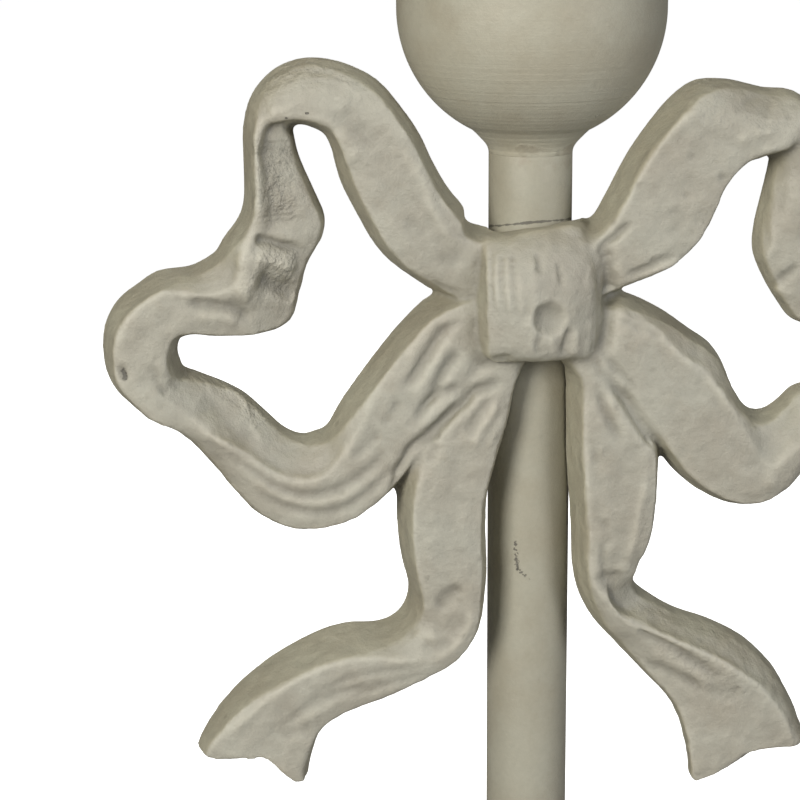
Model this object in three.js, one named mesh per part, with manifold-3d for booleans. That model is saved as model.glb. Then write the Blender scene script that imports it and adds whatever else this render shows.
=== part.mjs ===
// A table candle stand: a round cast foot, a slim tube stem, a cast ribbon bow clamped to the
// front of the stem, a round cup on top of it and a loose candle nozzle that rests in the cup.
// Millimetres, +Z up, the front is -Y, and the origin is on the table under the stem.

import * as THREE from 'three';
import { mergeVertices } from 'three/addons/utils/BufferGeometryUtils.js';
import Module from 'manifold-3d';

const wasm = await Module();
wasm.setup();

// Clearances
const fitGap = 0.3;            // between a round piece and the hole or saddle it sits in
const threadGap = 0.3;         // between a screw and the thread it is turned into

// Foot
const footDiameter = 130;
const footHeight = 32;         // from the underside of the rim to the top of the boss
const rimHeight = 4;
const rimWidth = 13;           // flat ring under the edge of the foot
const footWall = 4.5;
const bossDiameter = 25;
const bossFloor = 10;          // metal between the boss top and the recess under it
const recessDiameter = 30;     // room under the boss for the screw head
const padDiameter = 12;
const padThickness = 2;
const padCount = 4;

// Stem
const tubeDiameter = 14;
const tubeWall = 1.5;
const stemLength = 258;
const plugLength = 14;         // threaded plug pressed into each end of the tube
const collarHeight = 8;
const collarWall = 3.4;

// Screws of the foot and the cup
const screwDiameter = 6;
const screwReach = 11;         // length of thread inside the plug
const headAcross = 10;
const headHeight = 4;
const washerDiameter = 16;
const washerThickness = 1.5;

// Cup
const bowlRadius = 22.3;       // outside, round below and straight above
const neckFillet = 4;          // concave fillet from the ball down to the tube
const neckLand = 0.11;         // straight land between the end of the tube and the fillet
const cupWall = 2.3;
const cupStraight = 12;        // straight wall above the ball's centre
const cupFloor = 7;            // metal over the top of the tube
const rimRounding = 0.8;

// Nozzle
const candleDiameter = 22;
const candleGap = 0.25;        // around the candle, on the radius
const socketDepth = 25;
const socketWall = 1.6;
const socketFloor = 2;
const socketProud = 11;        // how far the socket stands above the pan
const panDiameter = 60;
const panThickness = 2;
const panLip = 2.5;
const spigotHeight = 4;        // ring under the pan that centres it in the cup
const spigotWall = 2;
const nozzleTravel = 45;       // free lift before the nozzle is clear of the cup

// Bow
const bowDrop = 22;            // from the top of the tube down to the middle of the knot
const ribbonFront = 13;        // from the stem's axis forward to the ribbons' front face
const ribbonBack = 2.5;        // from the stem's axis forward to the ribbons' flat back
const ribbonDraft = 13;        // degrees, taper of the ribbons' sides towards the front
const backRounding = 1.1;
const tailThinning = 3;        // how much thinner a tail is at its end
const bowScrewDiameter = 4;
const bowScrewDepth = 6;       // length of thread inside the knot
const bowScrewDrop = 2.5;      // below the middle of the knot
const bowHeadDiameter = 8;
const bowHeadHeight = 2.6;
const saddleDiameter = 11;
const saddleThickness = 2;

// Levels along the stem, from the table up
const footBottom = padThickness;
const bossTop = footBottom + footHeight;
const tubeBottom = bossTop;
const tubeTop = tubeBottom + stemLength;
const knotHeight = tubeTop - bowDrop;
const filletR = tubeDiameter / 2 + neckFillet;
const filletDrop = Math.sqrt((bowlRadius + neckFillet) ** 2 - filletR ** 2);
const ballHeight = tubeTop + neckLand + filletDrop;
const cupRim = ballHeight + cupStraight;
const cupSeat = tubeTop + cupFloor;
const recessCeiling = bossTop - bossFloor;

const tubeRadius = tubeDiameter / 2;
const boreRadius = tubeRadius - tubeWall;
const footRadius = footDiameter / 2;
const screwRadius = screwDiameter / 2;
const holeRadius = screwRadius + fitGap;

// Helpers that turn a geometry into a solid and back
function toSolid(geometry) {
  const bare = geometry.clone();
  bare.deleteAttribute('normal');
  bare.deleteAttribute('uv');
  const merged = mergeVertices(bare, 1e-4);
  return new wasm.Manifold(
    new wasm.Mesh({
      numProp: 3,
      vertProperties: new Float32Array(merged.attributes.position.array),
      triVerts: new Uint32Array(merged.index.array),
    }),
  );
}

function toGeometry(solid) {
  const mesh = solid.getMesh();
  const geometry = new THREE.BufferGeometry();
  geometry.setAttribute('position', new THREE.BufferAttribute(new Float32Array(mesh.vertProperties), 3));
  geometry.setIndex(new THREE.BufferAttribute(new Uint32Array(mesh.triVerts), 1));
  geometry.computeVertexNormals();
  return geometry;
}

// A turned piece: its outline is a list of [radius, height] that closes on itself or on the axis.
function turned(outline, segments) {
  const geometry = new THREE.LatheGeometry(
    outline.map(([r, z]) => new THREE.Vector2(r, z)),
    segments,
  );
  return geometry.rotateX(Math.PI / 2);
}

// Points of an arc in the outline's plane, from one angle to another, both in degrees
function arc(radius, centreR, centreZ, from, to, steps) {
  return Array.from({ length: steps + 1 }, (_, i) => {
    const a = THREE.MathUtils.degToRad(from + ((to - from) * i) / steps);
    return [centreR + radius * Math.cos(a), centreZ + radius * Math.sin(a)];
  });
}

// A plain rod along Z or Y, used as a pin and as a drill
function rod(radius, from, to, segments = 32) {
  return new THREE.CylinderGeometry(radius, radius, to - from, segments)
    .rotateX(Math.PI / 2)
    .translate(0, 0, (from + to) / 2);
}

function rodAlongY(radius, from, to, segments = 32) {
  return new THREE.CylinderGeometry(radius, radius, to - from, segments)
    .translate(0, (from + to) / 2, 0);
}

const stand = new THREE.Group();

const paint = { color: 0xb8b3a3, roughness: 0.55, metalness: 0.15 };
const steel = { color: 0xa9abae, roughness: 0.35, metalness: 0.9 };
const felt = { color: 0x3a3a3c, roughness: 0.95, metalness: 0 };

function place(name, geometry, finish) {
  const mesh = new THREE.Mesh(geometry, new THREE.MeshStandardMaterial(finish));
  mesh.name = name;
  stand.add(mesh);
  return mesh;
}

// Foot: a hollow bell with a flat rim, a step, a long sweep up to the boss and a recess under it
const sweepFoot = footRadius - rimWidth * 0.85;
const sweepBottom = footBottom + rimHeight + 3.5;
const bossRadius = bossDiameter / 2;
const sweep = new THREE.CubicBezierCurve(
  new THREE.Vector2(sweepFoot, sweepBottom),
  new THREE.Vector2((sweepFoot + bossRadius) * 0.42, sweepBottom + 4),
  new THREE.Vector2(bossRadius + 4, bossTop - 14),
  new THREE.Vector2(bossRadius, bossTop - 1.5),
)
  .getPoints(8)
  .map((p) => [p.x, p.y]);
const recessRadius = recessDiameter / 2;
const underSweep = new THREE.QuadraticBezierCurve(
  new THREE.Vector2(recessRadius, sweepBottom + 2.5),
  new THREE.Vector2((recessRadius + footRadius - rimWidth) / 2, sweepBottom),
  new THREE.Vector2(footRadius - rimWidth, sweepBottom - footWall),
)
  .getPoints(3)
  .map((p) => [p.x, p.y]);
const footOutline = [
  [holeRadius, bossTop],
  [holeRadius, recessCeiling],
  [washerDiameter / 2 + 1, recessCeiling],
  ...underSweep,
  [footRadius - rimWidth, footBottom],
  [footRadius, footBottom],
  [footRadius, footBottom + rimHeight - 1.2],
  [footRadius - 1.2, footBottom + rimHeight],
  [sweepFoot + 1.5, footBottom + rimHeight + 1],
  ...sweep,
  [bossRadius - 1.5, bossTop],
  [holeRadius, bossTop],
];
place('base_foot', turned(footOutline, 60), paint);

// Pads stuck under the rim, evenly spaced
const padCircle = footRadius - rimWidth / 2;
for (let i = 0; i < padCount; i++) {
  const angle = ((i + 0.5) * 2 * Math.PI) / padCount;
  const pad = place('foot_pad_' + (i + 1), rod(padDiameter / 2, 0, padThickness, 28), felt);
  pad.position.set(padCircle * Math.cos(angle), padCircle * Math.sin(angle), 0);
}

// Collar: a turned ring that stands on the boss round the end of the tube
const collarInner = tubeRadius + fitGap;
const collarOuter = collarInner + collarWall;
place(
  'base_collar',
  turned(
    [
      [collarInner, bossTop],
      [collarOuter, bossTop],
      ...arc(collarHeight / 2 - 1, collarOuter - 1.2, bossTop + collarHeight / 2, -60, 60, 6),
      [collarOuter - 1, bossTop + collarHeight],
      [collarInner, bossTop + collarHeight],
      [collarInner, bossTop],
    ],
    48,
  ),
  paint,
);

// Stem tube, drilled across for the screw that holds the bow
const bowScrewLevel = knotHeight - bowScrewDrop;
const bowScrewRadius = bowScrewDiameter / 2;
const tube = toSolid(
  turned(
    [
      [boreRadius, tubeBottom],
      [tubeRadius, tubeBottom],
      [tubeRadius, tubeTop],
      [boreRadius, tubeTop],
      [boreRadius, tubeBottom],
    ],
    48,
  ),
);
const crossDrill = toSolid(
  rodAlongY(bowScrewRadius + fitGap, -tubeRadius - 2, tubeRadius + 2, 24).translate(0, 0, bowScrewLevel),
);
place('stem_tube', toGeometry(tube.subtract(crossDrill)), paint);

// Threaded plugs, flush with the ends of the tube
const plugRadius = boreRadius - fitGap;
const threadRadius = screwRadius + threadGap;
function plug(name, from, to) {
  const outline = [
    [threadRadius, from],
    [plugRadius, from],
    [plugRadius, to],
    [threadRadius, to],
    [threadRadius, from],
  ];
  place(name, turned(outline, 32), steel);
}
plug('lower_plug', tubeBottom, tubeBottom + plugLength);
plug('upper_plug', tubeTop - plugLength, tubeTop);

// Washers and hexagon screws: one pulls the foot up to the tube, the other the cup down to it
function washer(name, from) {
  const outline = [
    [holeRadius, from],
    [washerDiameter / 2, from],
    [washerDiameter / 2, from + washerThickness],
    [holeRadius, from + washerThickness],
    [holeRadius, from],
  ];
  place(name, turned(outline, 32), steel);
}
function hexagonScrew(name, seat, direction, reach) {
  const headRadius = headAcross / 2 / Math.cos(Math.PI / 6);
  const headEnd = seat - direction * headHeight;
  const tip = seat + direction * reach;
  const head = toSolid(rod(headRadius, Math.min(seat, headEnd), Math.max(seat, headEnd), 6));
  const start = seat - direction * (headHeight / 2);
  const shank = toSolid(rod(screwRadius, Math.min(start, tip), Math.max(start, tip), 28));
  place(name, toGeometry(head.add(shank)), steel);
}
washer('base_washer', recessCeiling - washerThickness);
hexagonScrew('base_screw', recessCeiling - washerThickness, 1, washerThickness + bossFloor + screwReach);
washer('cup_washer', cupSeat);
hexagonScrew('cup_screw', cupSeat + washerThickness, -1, washerThickness + cupFloor + screwReach);

// Cup: a ball below and a straight wall above, with a concave fillet down to the tube
const filletTurn = THREE.MathUtils.radToDeg(Math.atan2(filletDrop, filletR));
const innerRadius = bowlRadius - cupWall;
const floorDepth = Math.min(ballHeight - cupSeat, innerRadius - 0.5);
const floorTurn = THREE.MathUtils.radToDeg(Math.asin(floorDepth / innerRadius));
const cupOutline = [
  [holeRadius, tubeTop],
  [tubeRadius, tubeTop],
  ...arc(neckFillet, filletR, ballHeight - filletDrop, 180, 180 - filletTurn, 3),
  ...arc(bowlRadius, 0, ballHeight, -filletTurn, 0, 10).slice(1),
  [bowlRadius, cupRim - rimRounding],
  [bowlRadius - rimRounding, cupRim],
  [innerRadius, cupRim],
  ...arc(innerRadius, 0, ballHeight, 0, -floorTurn, 7),
  [holeRadius, ballHeight - floorDepth],
  [holeRadius, tubeTop],
];
place('candle_cup', turned(cupOutline, 52), paint);

// Nozzle: pan that rests on the rim of the cup, centring ring under it and socket for the candle
const socketRadius = candleDiameter / 2 + candleGap;
const socketOuter = socketRadius + socketWall;
const socketTop = cupRim + panThickness + socketProud;
const socketSeat = socketTop - socketDepth;
const spigotRadius = innerRadius - fitGap;
const panRadius = panDiameter / 2;
const nozzleOutline = [
  [0, socketSeat - socketFloor],
  [socketOuter, socketSeat - socketFloor],
  [socketOuter, cupRim],
  [spigotRadius - spigotWall, cupRim],
  [spigotRadius - spigotWall, cupRim - spigotHeight],
  [spigotRadius, cupRim - spigotHeight],
  [spigotRadius, cupRim],
  [panRadius - 2.5, cupRim],
  [panRadius, cupRim + panLip],
  [panRadius, cupRim + panLip + panThickness],
  [panRadius - 1.2, cupRim + panLip + panThickness],
  [panRadius - 3.5, cupRim + panThickness],
  [socketOuter + 1.5, cupRim + panThickness],
  [socketOuter, cupRim + panThickness + 1.5],
  [socketOuter, socketTop - 2.2],
  [socketOuter + 1, socketTop - 1.4],
  [socketOuter + 1, socketTop - 0.5],
  [socketOuter + 0.4, socketTop],
  [socketRadius, socketTop],
  [socketRadius, socketSeat],
  [0, socketSeat],
];
place('candle_nozzle', turned(nozzleOutline, 52), paint);

// Ribbons of the bow
// Each station of a ribbon is one place along it, seen from the front:
// outer edge x, z, inner edge x, z, how far each of the two edges lies behind the front face,
// where between them the crest or the valley of the face runs, and how far behind it lies.
// Heights are measured from the middle of the knot.
const leftLoop = [
  [-2, 7, -4, -4, 0, 0, 0.5, 0],
  [-11.4, 9, -14.2, 0.4, 0.5, 1.5, 0.5, 0.3],
  [-13.5, 11.9, -20.8, 4.7, 0, 0.5, 0.5, 0],
  [-16.6, 15.7, -24.7, 8.9, 0, 0, 0.5, 0],
  [-19, 20.3, -27.7, 14.8, 0, 0, 0.5, 0],
  [-20.9, 24.4, -29.6, 18.8, 0, 0, 0.5, 0],
  [-23.8, 28.6, -30.9, 22.5, 0, 0, 0.5, 0],
  [-27.4, 32.5, -31.9, 25.4, 0, 0, 0.5, 0],
  [-32.2, 35.4, -33.8, 28, 0, 0, 0.5, 0],
  [-37.2, 36.2, -36.9, 29.2, 0, 0, 0.5, 0],
  [-41.4, 34.8, -39.4, 29.3, 0, 0, 0.5, 0],
  [-44.5, 31.4, -41.4, 28.4, 0, 1, 0.4, 0.6],
  [-45.6, 27.2, -40.9, 26.2, 0.3, 5, 0.25, 4],
  [-45.6, 21.5, -39.6, 22, 0.3, 6, 0.22, 5],
  [-45.6, 16.5, -37.3, 17, 0.3, 5.5, 0.22, 5],
  [-46.1, 13.2, -36.2, 12.5, 0.3, 5, 0.25, 4.5],
  [-47.2, 10.4, -36.9, 9, 0.3, 4, 0.3, 3.5],
  [-48.8, 7.6, -38.6, 5, 0, 4, 0.3, 3],
  [-50.8, 5.4, -39.7, 0.4, 0, 5, 0.35, 3.5],
  [-53, 4, -41.6, -4, 0.5, 5, 0.35, 4],
  [-55.6, 3, -46.9, -5.7, 0.3, 2.5, 0.4, 1.5],
  [-58.4, 2.5, -53.3, -5.4, 0, 1, 0.4, 1],
  [-61.5, 2, -57.6, -4.8, 0, 0.3, 0.5, 0],
  [-64.5, 0.1, -60, -5.4, 0, 0, 0.5, 0],
  [-67.2, -2.4, -61, -6.8, 0, 0, 0.5, 0],
  [-69.1, -5.9, -61.5, -8.4, 0, 0, 0.5, 0],
  [-69.4, -10, -61.5, -10, 0, 0, 0.5, 0],
  [-68.5, -13.5, -60.9, -11.8, 0, 0.5, 0.5, 0],
  [-66.2, -16.6, -60, -13.4, 0, 2, 0.5, 0],
  [-63.3, -19.2, -57.9, -14.1, 0, 4, 0.5, 0.5],
  [-59.8, -21, -55, -15.2, 1, 5, 0.35, 0.8],
  [-56.8, -23.6, -51.6, -16.4, 2.5, 6, 0.3, 0.3],
  [-53.6, -27.4, -48.7, -18.2, 2.5, 6, 0.36, 0],
  [-50, -32, -45.4, -21, 2, 5.5, 0.42, 0],
  [-45.8, -36.1, -42.3, -24, 1.2, 5, 0.5, 0],
  [-40.8, -38.3, -39.3, -25.4, 0.6, 4.5, 0.58, 0],
  [-35.8, -38.2, -36.8, -25.2, 0.3, 3.5, 0.6, 0],
  [-30.8, -36.6, -34.4, -24.4, 0.2, 2.5, 0.65, 0],
  [-25.4, -32.4, -31.8, -21.8, 0.2, 1, 0.7, 0],
  [-20, -25.5, -29, -18.4, 0.3, 0, 0.5, 0],
  [-15.3, -19.4, -24.4, -12.1, 0.3, 0, 0.5, 0],
  [-12, -13.8, -20.1, -6.4, 0.3, 0, 0.5, 0],
  [-9.5, -10, -15, -2.3, 0.3, 0, 0.5, 0],
  [-3, -8, -4, 1, 0, 0, 0.5, 0],
];
const rightLoop = [
  [2, 7, 4, -3, 0, 0, 0.5, 0],
  [9.6, 9, 13.4, 1.2, 0.5, 1, 0.5, 0.3],
  [13.3, 13.2, 20.8, 3.5, 0, 0.5, 0.5, 0],
  [15.6, 17.4, 25.8, 7.9, 0, 0, 0.5, 0],
  [18, 21, 28.5, 12.5, 0, 0, 0.5, 0],
  [21, 25.6, 30, 16.6, 0, 0, 0.5, 0],
  [24.2, 29.1, 32, 19.2, 0, 0, 0.5, 0],
  [27.7, 31.7, 34.3, 21.2, 0, 0, 0.5, 0],
  [32.6, 31.8, 36.8, 22.3, 0, 0, 0.5, 0],
  [38, 30.5, 38.9, 23.2, 0, 0, 0.5, 0],
  [42.6, 29.3, 40.9, 23.6, 0, 0.5, 0.4, 0.3],
  [45.6, 26, 41.2, 22.2, 0.3, 3, 0.25, 3],
  [46.2, 21, 40.4, 19.4, 0.3, 4.5, 0.25, 4],
  [46, 16.2, 39.6, 15, 0.3, 4.5, 0.25, 4],
  [46, 12, 38.6, 10.4, 0.3, 4.5, 0.25, 4],
  [47, 9.4, 38.5, 6, 0.3, 4, 0.3, 3.5],
  [48.8, 7.2, 39.7, 1.6, 0, 4, 0.3, 3],
  [51, 5.2, 41.8, -2.6, 0, 4.5, 0.35, 3.5],
  [53.6, 3.8, 45, -5.8, 0.5, 4.5, 0.35, 3.5],
  [56.6, 2.8, 50.2, -6.4, 0.3, 2.5, 0.4, 1.5],
  [60, 2.4, 55.2, -6.2, 0, 1, 0.4, 1],
  [63.4, 1.4, 58.6, -6.4, 0, 0.3, 0.5, 0],
  [66.4, -0.6, 60.4, -7, 0, 0, 0.5, 0],
  [68.5, -3.6, 61.4, -8.4, 0, 0, 0.5, 0],
  [69.4, -7.4, 61.7, -10.2, 0, 0, 0.5, 0],
  [69, -11.4, 61.3, -12, 0, 0.5, 0.5, 0],
  [67.4, -15, 60.2, -13.6, 0, 1, 0.5, 0],
  [64.4, -18, 58.4, -14.6, 0, 2.5, 0.5, 0],
  [60.6, -20.2, 56, -15.2, 0.5, 4, 0.45, 0.3],
  [57, -21.8, 53, -15.8, 1.5, 5, 0.35, 0.5],
  [53.6, -23.8, 50.2, -16.8, 2.5, 5.5, 0.33, 0.3],
  [50, -26.8, 47.8, -18.2, 2.5, 5.5, 0.38, 0],
  [46.2, -30.4, 45, -20.2, 2, 5, 0.42, 0],
  [42.6, -33.9, 42.3, -22.4, 1.2, 4.5, 0.45, 0],
  [38.4, -36.3, 39.3, -24.1, 0.6, 3, 0.5, 0],
  [33.8, -36.1, 36.2, -23.5, 0.3, 1.2, 0.55, 0],
  [29.4, -34, 33.2, -19.8, 0.2, 0.3, 0.5, 0],
  [25.6, -30.8, 31.2, -15.8, 0.2, 0, 0.5, 0],
  [22.8, -27.4, 29, -12.2, 0.2, 0, 0.5, 0],
  [19.8, -23.4, 25.6, -9.5, 0.3, 0, 0.5, 0],
  [16.6, -19, 21.6, -6.7, 0.3, 0, 0.5, 0],
  [13.4, -14.5, 17.2, -4.2, 0.3, 0, 0.5, 0],
  [10, -11, 12.4, -2.2, 0.3, 0.5, 0.5, 0],
  [3, -8, 3, 1, 0, 0, 0.5, 0],
];
const leftTail = [
  [-8, -7, -1, -7, 0, 0, 0.5, 0],
  [-12, -14.5, -4.6, -15, 0.5, 0.3, 0.5, 0],
  [-15.5, -20.5, -6.2, -21.5, 0.3, 0.3, 0.5, 0],
  [-18.6, -27, -8.2, -28, 0, 0, 0.5, 0],
  [-20, -34, -9.8, -34.5, 0, 0, 0.5, 0],
  [-20.3, -40.5, -10.3, -40.5, 0, 0, 0.5, 0],
  [-19.8, -46.6, -10.1, -47, 0, 0, 0.5, 0],
  [-19.2, -51.4, -10, -52.8, 0.3, 0, 0.5, 0.5],
  [-19.4, -55.2, -10.8, -57.8, 1.5, 0, 0.5, 1],
  [-21.2, -58.2, -13.2, -61.6, 2.5, 0.3, 0.45, 0.5],
  [-24.3, -60, -17.2, -64.8, 2, 0.5, 0.4, 0.2],
  [-28.9, -60.6, -24, -67.8, 1, 0.5, 0.4, 0],
  [-33.8, -61.2, -29.6, -69.9, 0.5, 0.5, 0.4, 0],
  [-38.6, -62.8, -33.8, -71.6, 0.3, 0.5, 0.4, 0],
  [-43.6, -65.3, -36.8, -73.6, 0.2, 0.3, 0.4, 0],
  [-48.8, -68.4, -38.8, -76.4, 0, 0, 0.5, 0],
  [-53, -72.4, -39.8, -79.6, 0, 0, 0.5, 0],
  [-57.2, -78.2, -40.7, -83.5, 0, 0, 0.5, 0],
];
const rightTail = [
  [1, -7, 8, -7, 0, 0, 0.5, 0],
  [7, -14, 12.3, -14.2, 0.3, 0.5, 0.5, 0],
  [7.7, -19.5, 15.3, -19.8, 0, 0.3, 0.5, 0],
  [7.9, -26, 19, -25.4, 0, 0, 0.5, 0],
  [8.3, -32, 19.5, -32, 0, 0, 0.5, 0],
  [8.8, -38, 19.2, -38.4, 0, 0, 0.5, 0],
  [9.1, -43.5, 18.3, -43.8, 0, 0.5, 0.5, 0.3],
  [9.2, -48.4, 16.6, -48, 0.5, 1.5, 0.45, 0.6],
  [10, -53.2, 16.4, -52, 1.5, 3.5, 0.38, 0],
  [12.5, -58, 19.6, -54.8, 2, 5, 0.36, 0],
  [16.3, -62.4, 24.3, -58, 2.5, 5.5, 0.44, 0],
  [20.8, -66.6, 30, -60.7, 2, 5.5, 0.58, 0],
  [25.4, -71, 36.2, -63.8, 1.5, 5, 0.68, 0],
  [28.1, -76, 41.2, -68.2, 1, 4.5, 0.74, 0],
  [29.3, -81.1, 44.8, -74, 0.8, 4, 0.78, 0],
  [29.4, -86.2, 46.8, -80.4, 0.8, 3, 0.75, 0],
];
const knot = [
  [-7.9, -10.4, 7.9, -10.4, -3.2, -3.2, 0.5, -3.6],
  [-8.8, -8.6, 8.8, -8.6, -4.6, -4.6, 0.5, -5],
  [-9.1, -3, 9.1, -3, -5, -5, 0.5, -5.4],
  [-9, 4, 8.8, 4, -4.9, -4.9, 0.5, -5.4],
  [-8.8, 7.6, 8.2, 7.6, -4.4, -4.4, 0.5, -4.8],
  [-8.6, 9.2, 8, 9.2, -3, -3, 0.5, -3.3],
  [-8.6, 10.3, 8, 10.3, -0.8, -0.8, 0.5, -1],
];

// A ribbon's solid: one ring of eight points at each step along it, joined into a closed skin.
// The notch is how deep the swallowtail is cut into its last ring.
function ribbon(stations, side, { steps = 2, notch = 0, thin = 0 } = {}) {
  const edge = (x, z, sunk) => new THREE.Vector3(x, sunk - ribbonFront, z + knotHeight);
  const outer = new THREE.CatmullRomCurve3(
    stations.map(([x, z, , , sunk]) => edge(x, z, sunk)), false, 'catmullrom', 0.5);
  const inner = new THREE.CatmullRomCurve3(
    stations.map(([, , x, z, , sunk]) => edge(x, z, sunk)), false, 'catmullrom', 0.5);
  const crest = new THREE.CatmullRomCurve3(
    stations.map(([xo, zo, xi, zi, , , share, sunk]) =>
      edge(xo + (xi - xo) * share, zo + (zi - zo) * share, sunk)), false, 'catmullrom', 0.5);
  const last = (stations.length - 1) * steps;
  const slope = Math.tan(THREE.MathUtils.degToRad(ribbonDraft));
  const points = [];
  for (let i = 0; i <= last; i++) {
    const o = outer.getPoint(i / last);
    const n = inner.getPoint(i / last);
    const k = crest.getPoint(i / last);
    const toEnd = Math.max(0, 1 - (last - i) / (3 * steps));
    const back = -ribbonBack - thin * toEnd;
    const across = new THREE.Vector3(o.x - n.x, 0, o.z - n.z).normalize();
    const spread = (p, sign, inset) => {
      const reach = (back - p.y) * slope - inset;
      return new THREE.Vector3(p.x + across.x * sign * reach, back, p.z + across.z * sign * reach);
    };
    const outerSide = spread(o, 1, 0);
    const innerSide = spread(n, -1, 0);
    outerSide.y -= backRounding;
    innerSide.y -= backRounding;
    const middle = spread(o, 1, backRounding).add(spread(n, -1, backRounding)).multiplyScalar(0.5);
    if (i === last) {
      const along = new THREE.Vector3(across.z, 0, -across.x).multiplyScalar(-side * notch);
      k.add(along);
      middle.add(along);
    }
    const ring = [
      spread(o, 1, backRounding), outerSide, o, k, n, innerSide, spread(n, -1, backRounding), middle,
    ];
    points.push(...(side < 0 ? ring : ring.reverse()));
  }
  const index = [];
  for (let i = 0; i < last; i++) {
    for (let j = 0; j < 8; j++) {
      const a = i * 8 + j;
      const b = i * 8 + ((j + 1) % 8);
      index.push(a, a + 8, b, b, a + 8, b + 8);
    }
  }
  for (const [first, turn] of [[0, 1], [last * 8, -1]]) {
    const centre = new THREE.Vector3();
    for (let j = 0; j < 8; j++) centre.addScaledVector(points[first + j], 1 / 8);
    points.push(centre);
    const hub = points.length - 1;
    for (let j = 0; j < 8; j++) {
      const a = first + j;
      const b = first + ((j + 1) % 8);
      index.push(...(turn > 0 ? [a, b, hub] : [b, a, hub]));
    }
  }
  const geometry = new THREE.BufferGeometry().setFromPoints(points);
  geometry.setIndex(index);
  return toSolid(geometry);
}

// The bow is one casting: the ribbons run into the knot, which has a half-round saddle for the
// tube and a blind threaded hole for the screw that comes through the tube from behind.
const saddle = toSolid(rod(tubeRadius + fitGap, knotHeight - 150, knotHeight + 90, 64));
const threadEnd = -(tubeRadius + fitGap) - bowScrewDepth - 1;
const knotThread = toSolid(
  rodAlongY(bowScrewRadius + threadGap, threadEnd, 0, 24).translate(0, 0, bowScrewLevel),
);
const bow = ribbon(knot, 1, { steps: 1 })
  .add(ribbon(leftLoop, -1))
  .add(ribbon(rightLoop, 1))
  .add(ribbon(leftTail, -1, { notch: 3.9, thin: tailThinning }))
  .add(ribbon(rightTail, -1, { notch: 3.3, thin: tailThinning }))
  .subtract(saddle)
  .subtract(knotThread);
place('ribbon_bow', toGeometry(bow), paint);

// Saddle washer and pan head screw behind the tube
const saddleBack = tubeRadius + fitGap + saddleThickness;
const saddleWasher = toSolid(
  rodAlongY(saddleDiameter / 2, 0, saddleBack, 32).translate(0, 0, bowScrewLevel),
)
  .subtract(toSolid(rod(tubeRadius + fitGap, bowScrewLevel - saddleDiameter, bowScrewLevel + saddleDiameter, 64)))
  .subtract(toSolid(rodAlongY(bowScrewRadius + fitGap, -1, saddleBack + 1, 24).translate(0, 0, bowScrewLevel)));
place('bow_saddle_washer', toGeometry(saddleWasher), steel);

const screwTip = -(tubeRadius + fitGap) - bowScrewDepth;
const bowScrew = toSolid(
  turned(
    [
      [0, 0],
      [bowHeadDiameter / 2, 0],
      [bowHeadDiameter / 2, bowHeadHeight * 0.45],
      [bowHeadDiameter * 0.36, bowHeadHeight],
      [0, bowHeadHeight],
    ],
    28,
  ).rotateX(-Math.PI / 2).translate(0, saddleBack, bowScrewLevel),
).add(toSolid(rodAlongY(bowScrewRadius, screwTip, saddleBack + bowHeadHeight / 2, 24).translate(0, 0, bowScrewLevel)));
place('bow_screw', toGeometry(bowScrew), steel);

// The nozzle lifts straight up out of the cup by this much
stand.userData.nozzleTravel = nozzleTravel;

export default stand;
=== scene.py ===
import math
from functools import partial

import bmesh
import bpy
import numpy as np
from mathutils import Matrix, Vector


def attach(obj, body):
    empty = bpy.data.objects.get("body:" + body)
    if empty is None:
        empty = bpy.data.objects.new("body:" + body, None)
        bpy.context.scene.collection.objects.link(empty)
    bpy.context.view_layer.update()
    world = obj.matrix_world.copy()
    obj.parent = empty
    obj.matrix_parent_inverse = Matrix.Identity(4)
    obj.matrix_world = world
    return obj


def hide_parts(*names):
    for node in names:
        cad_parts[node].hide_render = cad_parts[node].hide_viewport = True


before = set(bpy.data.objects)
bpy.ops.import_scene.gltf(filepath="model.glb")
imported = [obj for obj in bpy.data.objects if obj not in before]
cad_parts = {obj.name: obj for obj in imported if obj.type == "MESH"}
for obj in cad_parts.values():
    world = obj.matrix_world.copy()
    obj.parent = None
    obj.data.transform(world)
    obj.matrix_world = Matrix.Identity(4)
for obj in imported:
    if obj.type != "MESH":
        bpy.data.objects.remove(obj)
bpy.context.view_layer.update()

mm = 0.001


def addNode(tree, kind, values=None, **settings):
    # a value that is a socket of another node is linked, any other one is set
    node = tree.nodes.new("ShaderNode" + kind)
    for key, value in settings.items():
        setattr(node, key, value)
    for key, value in (values or {}).items():
        if isinstance(value, bpy.types.NodeSocket):
            tree.links.new(value, node.inputs[key])
        elif value is not None:
            node.inputs[key].default_value = value
    return node


def calculate(tree, operation, a, b=None, clamp=False):
    return addNode(tree, "Math", {0: a, 1: b}, operation=operation, use_clamp=clamp).outputs[0]


def sums(tree):
    # functions that multiply, add and subtract in one node tree
    return [partial(calculate, tree, operation) for operation in ("MULTIPLY", "ADD", "SUBTRACT")]


def objectPlace(tree):
    return addNode(tree, "TexCoord").outputs["Object"]


def noiseAt(tree, place, scale, detail, rough=0.5, twist=0.0):
    values = {"Vector": place, "Scale": scale, "Detail": detail, "Roughness": rough, "Distortion": twist}
    return addNode(tree, "TexNoise", values).outputs["Fac"]


def mapRange(tree, value, before, after, kind="LINEAR"):
    values = {"Value": value, "From Min": before[0], "From Max": before[1], "To Min": after[0], "To Max": after[1]}
    return addNode(tree, "MapRange", values, interpolation_type=kind).outputs["Result"]


def ramp(tree, factor, *stops):  # two stops, each with its position and colour
    node = addNode(tree, "ValToRGB", {0: factor})
    for element, (position, colour) in zip(node.color_ramp.elements, stops):
        element.position, element.color = position, (*colour, 1)
    return node.outputs["Color"]


def blendColour(tree, factor, *colours):
    first, second = [(*colour, 1) if isinstance(colour, tuple) else colour for colour in colours]
    return addNode(tree, "Mix", {0: factor, 6: first, 7: second}, data_type="RGBA").outputs[2]


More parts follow.
